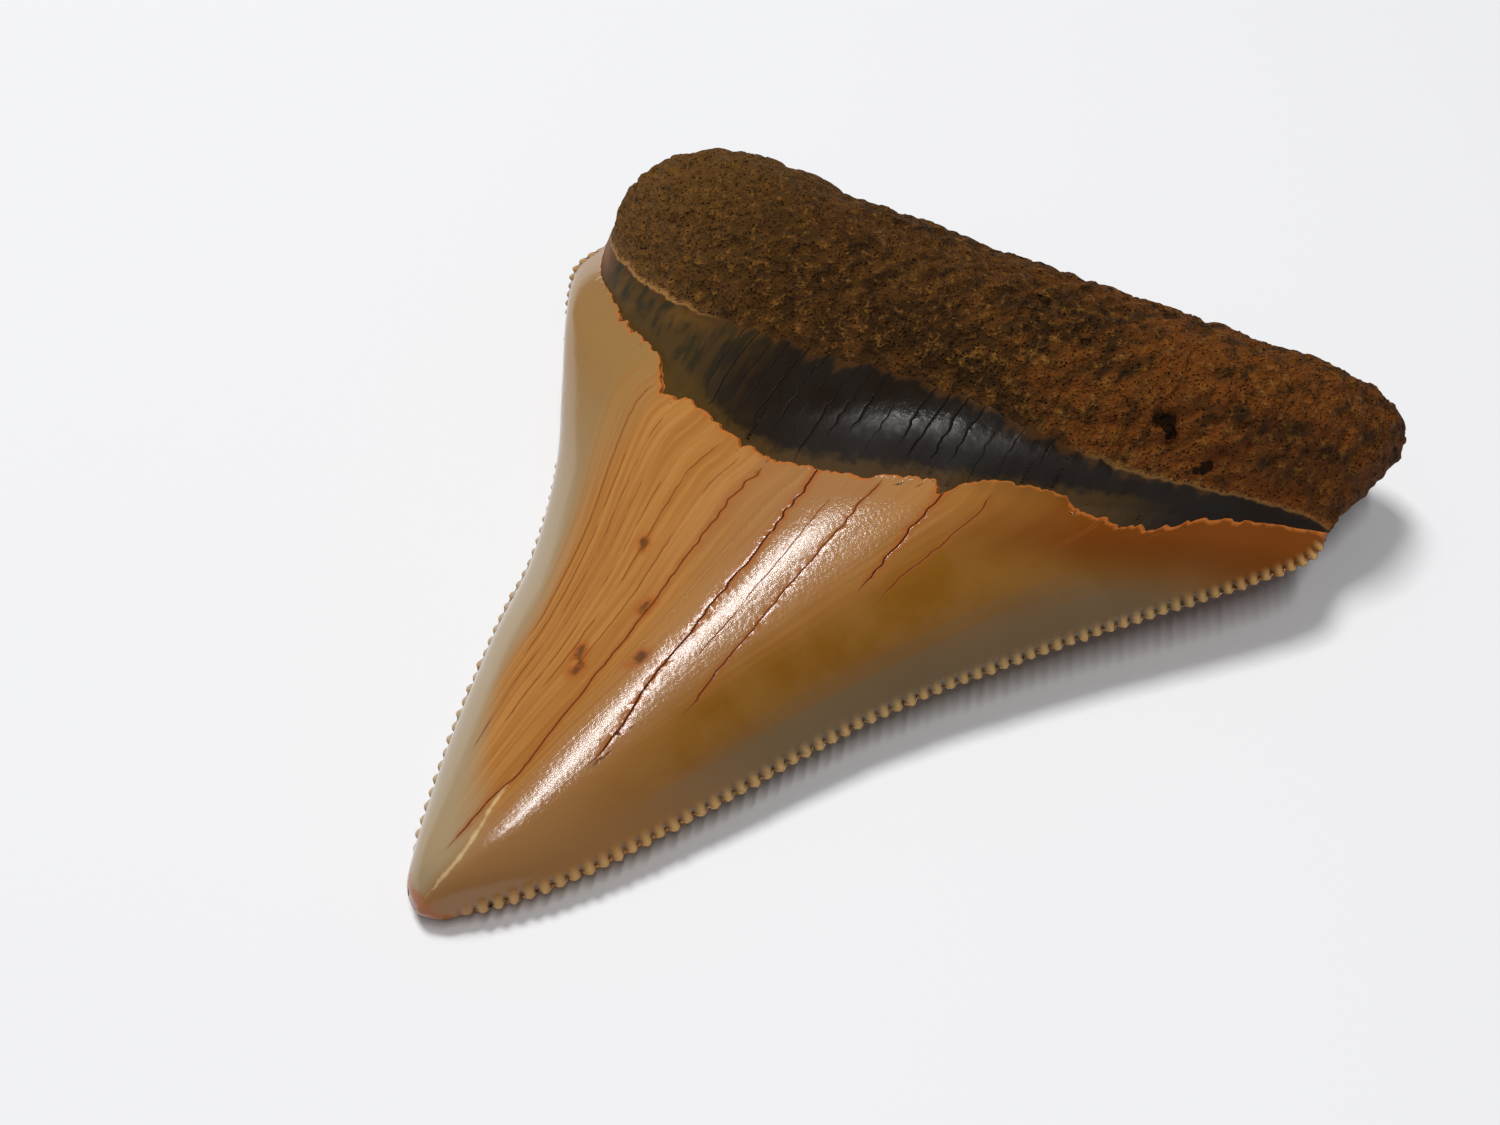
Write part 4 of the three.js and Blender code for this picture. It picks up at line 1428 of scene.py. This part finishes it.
    def _finish(self, flow: bpy.types.NodeSocket, given: Any) -> None:
        """Realizes the mesh and sets the material of each surface.

        Args:
            flow: The mesh so far.
            given: The tree's inputs.
        """
        graph = self.graph
        realize = graph.add("GeometryNodeRealizeInstances")
        graph.feed(realize.inputs[0], flow)
        flow = realize.outputs[0]
        zone_of = self._read(ZONE, "INT")
        for zone in Zone:
            chosen = graph.add("FunctionNodeCompare", data_type="INT", operation="EQUAL")
            whole = [socket for socket in chosen.inputs if socket.type == "INT"]
            graph.feed(whole[0], zone_of)
            graph.feed(whole[1], int(zone))
            node = graph.add("GeometryNodeSetMaterial")
            graph.feed(node.inputs["Geometry"], flow)
            graph.feed(node.inputs["Selection"], chosen.outputs[0])
            graph.feed(node.inputs["Material"], given[zone.name.title()])
            flow = node.outputs[0]
        graph.feed(graph.add("NodeGroupOutput").inputs[0], flow)

    def apply(self, piece: bpy.types.Object, materials: dict[Zone, bpy.types.Material]) -> None:
        """Runs the tree on a piece and keeps the result as its plain mesh.

        Args:
            piece: The piece.
            materials: The material of each surface.
        """
        modifier = piece.modifiers.new("relief", "NODES")
        modifier.node_group = self.tree
        sizes = {
            "Pitch": self.pitch, "Bead Height": self.bead_height, "Rib Depth": self.rib_depth,
            "Rib Length": self.rib_length, "Lump Depth": self.lump_depth, "Grit Depth": self.grit_depth,
            "Pore Depth": self.pore_depth, "Swell": self.swell, "Seed": self.seed,
        }
        for name, size in sizes.items():
            modifier[self.sockets[name]] = size
        for zone, material in materials.items():
            modifier[self.sockets[zone.name.title()]] = material
        graph = bpy.context.evaluated_depsgraph_get()
        plain = bpy.data.meshes.new_from_object(piece.evaluated_get(graph), depsgraph=graph)
        piece.modifiers.remove(modifier)
        piece.data = plain


@dataclass
class Tooth:
    """The whole tooth: enamel, band and root in one closed skin."""

    form: ToothForm = field(default_factory=ToothForm)
    marks: ToothMarks = field(default_factory=ToothMarks)
    enamel: EnamelFinish = EnamelFinish()
    band: BandFinish = BandFinish()
    root: RootFinish = RootFinish()
    name: str = "tooth_skin"

    def build(self) -> bpy.types.Object:
        """Makes the skin, dresses it and puts it in the solid's place.

        Returns:
            The finished piece.
        """
        skin = ToothSkin(self.form, self.marks)
        piece = bpy.data.objects.new(self.name, skin.mesh(self.name))
        bpy.context.scene.collection.objects.link(piece)
        ReliefTree().apply(piece, self.materials())
        piece.data.name = self.name
        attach(piece, "root")
        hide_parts("tooth")
        return piece

    def materials(self) -> dict[Zone, bpy.types.Material]:
        """Makes the material of each surface."""
        effects = Effects()
        return {
            Zone.ENAMEL: self.enamel.material(effects),
            Zone.BAND: self.band.material(effects),
            Zone.ROOT: self.root.material(effects),
        }


@dataclass
class Studio:
    """A pale table, soft light from overhead and the camera."""

    floor_size: float = 3.0
    floor_colour: Colour = (240, 240, 241)
    sky_colour: Colour = (236, 240, 248)
    sky_strength: float = 0.14
    strip_place: tuple[float, float, float] = (0.095, -0.105, 0.5)
    strip_size: tuple[float, float] = (0.02, 0.3)
    strip_turn: float = 17.5
    strip_power: float = 0.8
    window_place: tuple[float, float, float] = (-0.26, 0.16, 0.62)
    window_size: tuple[float, float] = (0.2, 0.2)
    window_power: float = 3.55
    camera_place: tuple[float, float, float] = (0.01918, -0.053, 0.07122)
    camera_direction: tuple[float, float, float] = (-0.2748, 0.5811, -0.766)
    focal_pixels: float = 1600.0

    def build(self) -> None:
        """Makes the table, the lights, the surroundings and the camera."""
        self._floor()
        strip = self._lamp("strip", self.strip_place, self.strip_size, self.strip_power)
        strip.rotation_euler = (0.0, 0.0, math.radians(self.strip_turn))
        window = self._lamp("window", self.window_place, self.window_size, self.window_power)
        window.rotation_euler = (-Vector(self.window_place)).to_track_quat("-Z", "Y").to_euler()
        window.visible_glossy = False
        self._surroundings()
        self._camera()

    def _floor(self) -> None:
        """Lays the pale table."""
        half = self.floor_size / 2.0
        mesh = bpy.data.meshes.new("table")
        corners = [(-half, -half, 0.0), (half, -half, 0.0), (half, half, 0.0), (-half, half, 0.0)]
        mesh.from_pydata(corners, [], [(0, 1, 2, 3)])
        material = bpy.data.materials.new("pale_table")
        material.use_nodes = True
        shader = material.node_tree.nodes["Principled BSDF"]
        shader.inputs["Base Color"].default_value = linear(self.floor_colour)
        shader.inputs["Roughness"].default_value = 0.6
        mesh.materials.append(material)
        table = bpy.data.objects.new("table", mesh)
        bpy.context.scene.collection.objects.link(table)

    @staticmethod
    def _lamp(
        name: str, place: tuple[float, float, float], size: tuple[float, float], power: float
    ) -> bpy.types.Object:
        """Hangs a soft lamp that faces down.

        Args:
            name: Name of the lamp.
            place: Where it hangs.
            size: Its width and length.
            power: Its power in watts.

        Returns:
            The lamp.
        """
        light = bpy.data.lights.new(name, "AREA")
        light.shape = "RECTANGLE"
        light.size, light.size_y = size
        light.energy = power
        lamp = bpy.data.objects.new(name, light)
        lamp.location = place
        bpy.context.scene.collection.objects.link(lamp)
        return lamp

    def _surroundings(self) -> None:
        """Sets the even light of the room and plain tones."""
        world = bpy.data.worlds.new("room")
        world.use_nodes = True
        background = world.node_tree.nodes["Background"]
        background.inputs["Color"].default_value = linear(self.sky_colour)
        background.inputs["Strength"].default_value = self.sky_strength
        bpy.context.scene.world = world
        bpy.context.scene.view_settings.view_transform = "Standard"

    def _camera(self) -> None:
        """Stands the camera at the angle of the photograph."""
        data = bpy.data.cameras.new("camera")
        data.sensor_width = 36.0
        data.lens = 36.0 * self.focal_pixels / IMAGE_WIDTH
        data.clip_start = 0.005
        camera = bpy.data.objects.new("camera", data)
        camera.location = self.camera_place
        camera.rotation_euler = Vector(self.camera_direction).to_track_quat("-Z", "Y").to_euler()
        bpy.context.scene.collection.objects.link(camera)
        bpy.context.scene.camera = camera


def main() -> None:
    """Builds the studio and the tooth in order and reports each piece."""
    logging.basicConfig(level=logging.INFO, format="%(name)s: %(message)s")
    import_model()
    Studio().build()
    LOG.info("studio ready")
    piece = Tooth().build()
    LOG.info("%s: %d triangles", piece.name, len(piece.data.polygons))


if __name__ == "__main__":
    main()
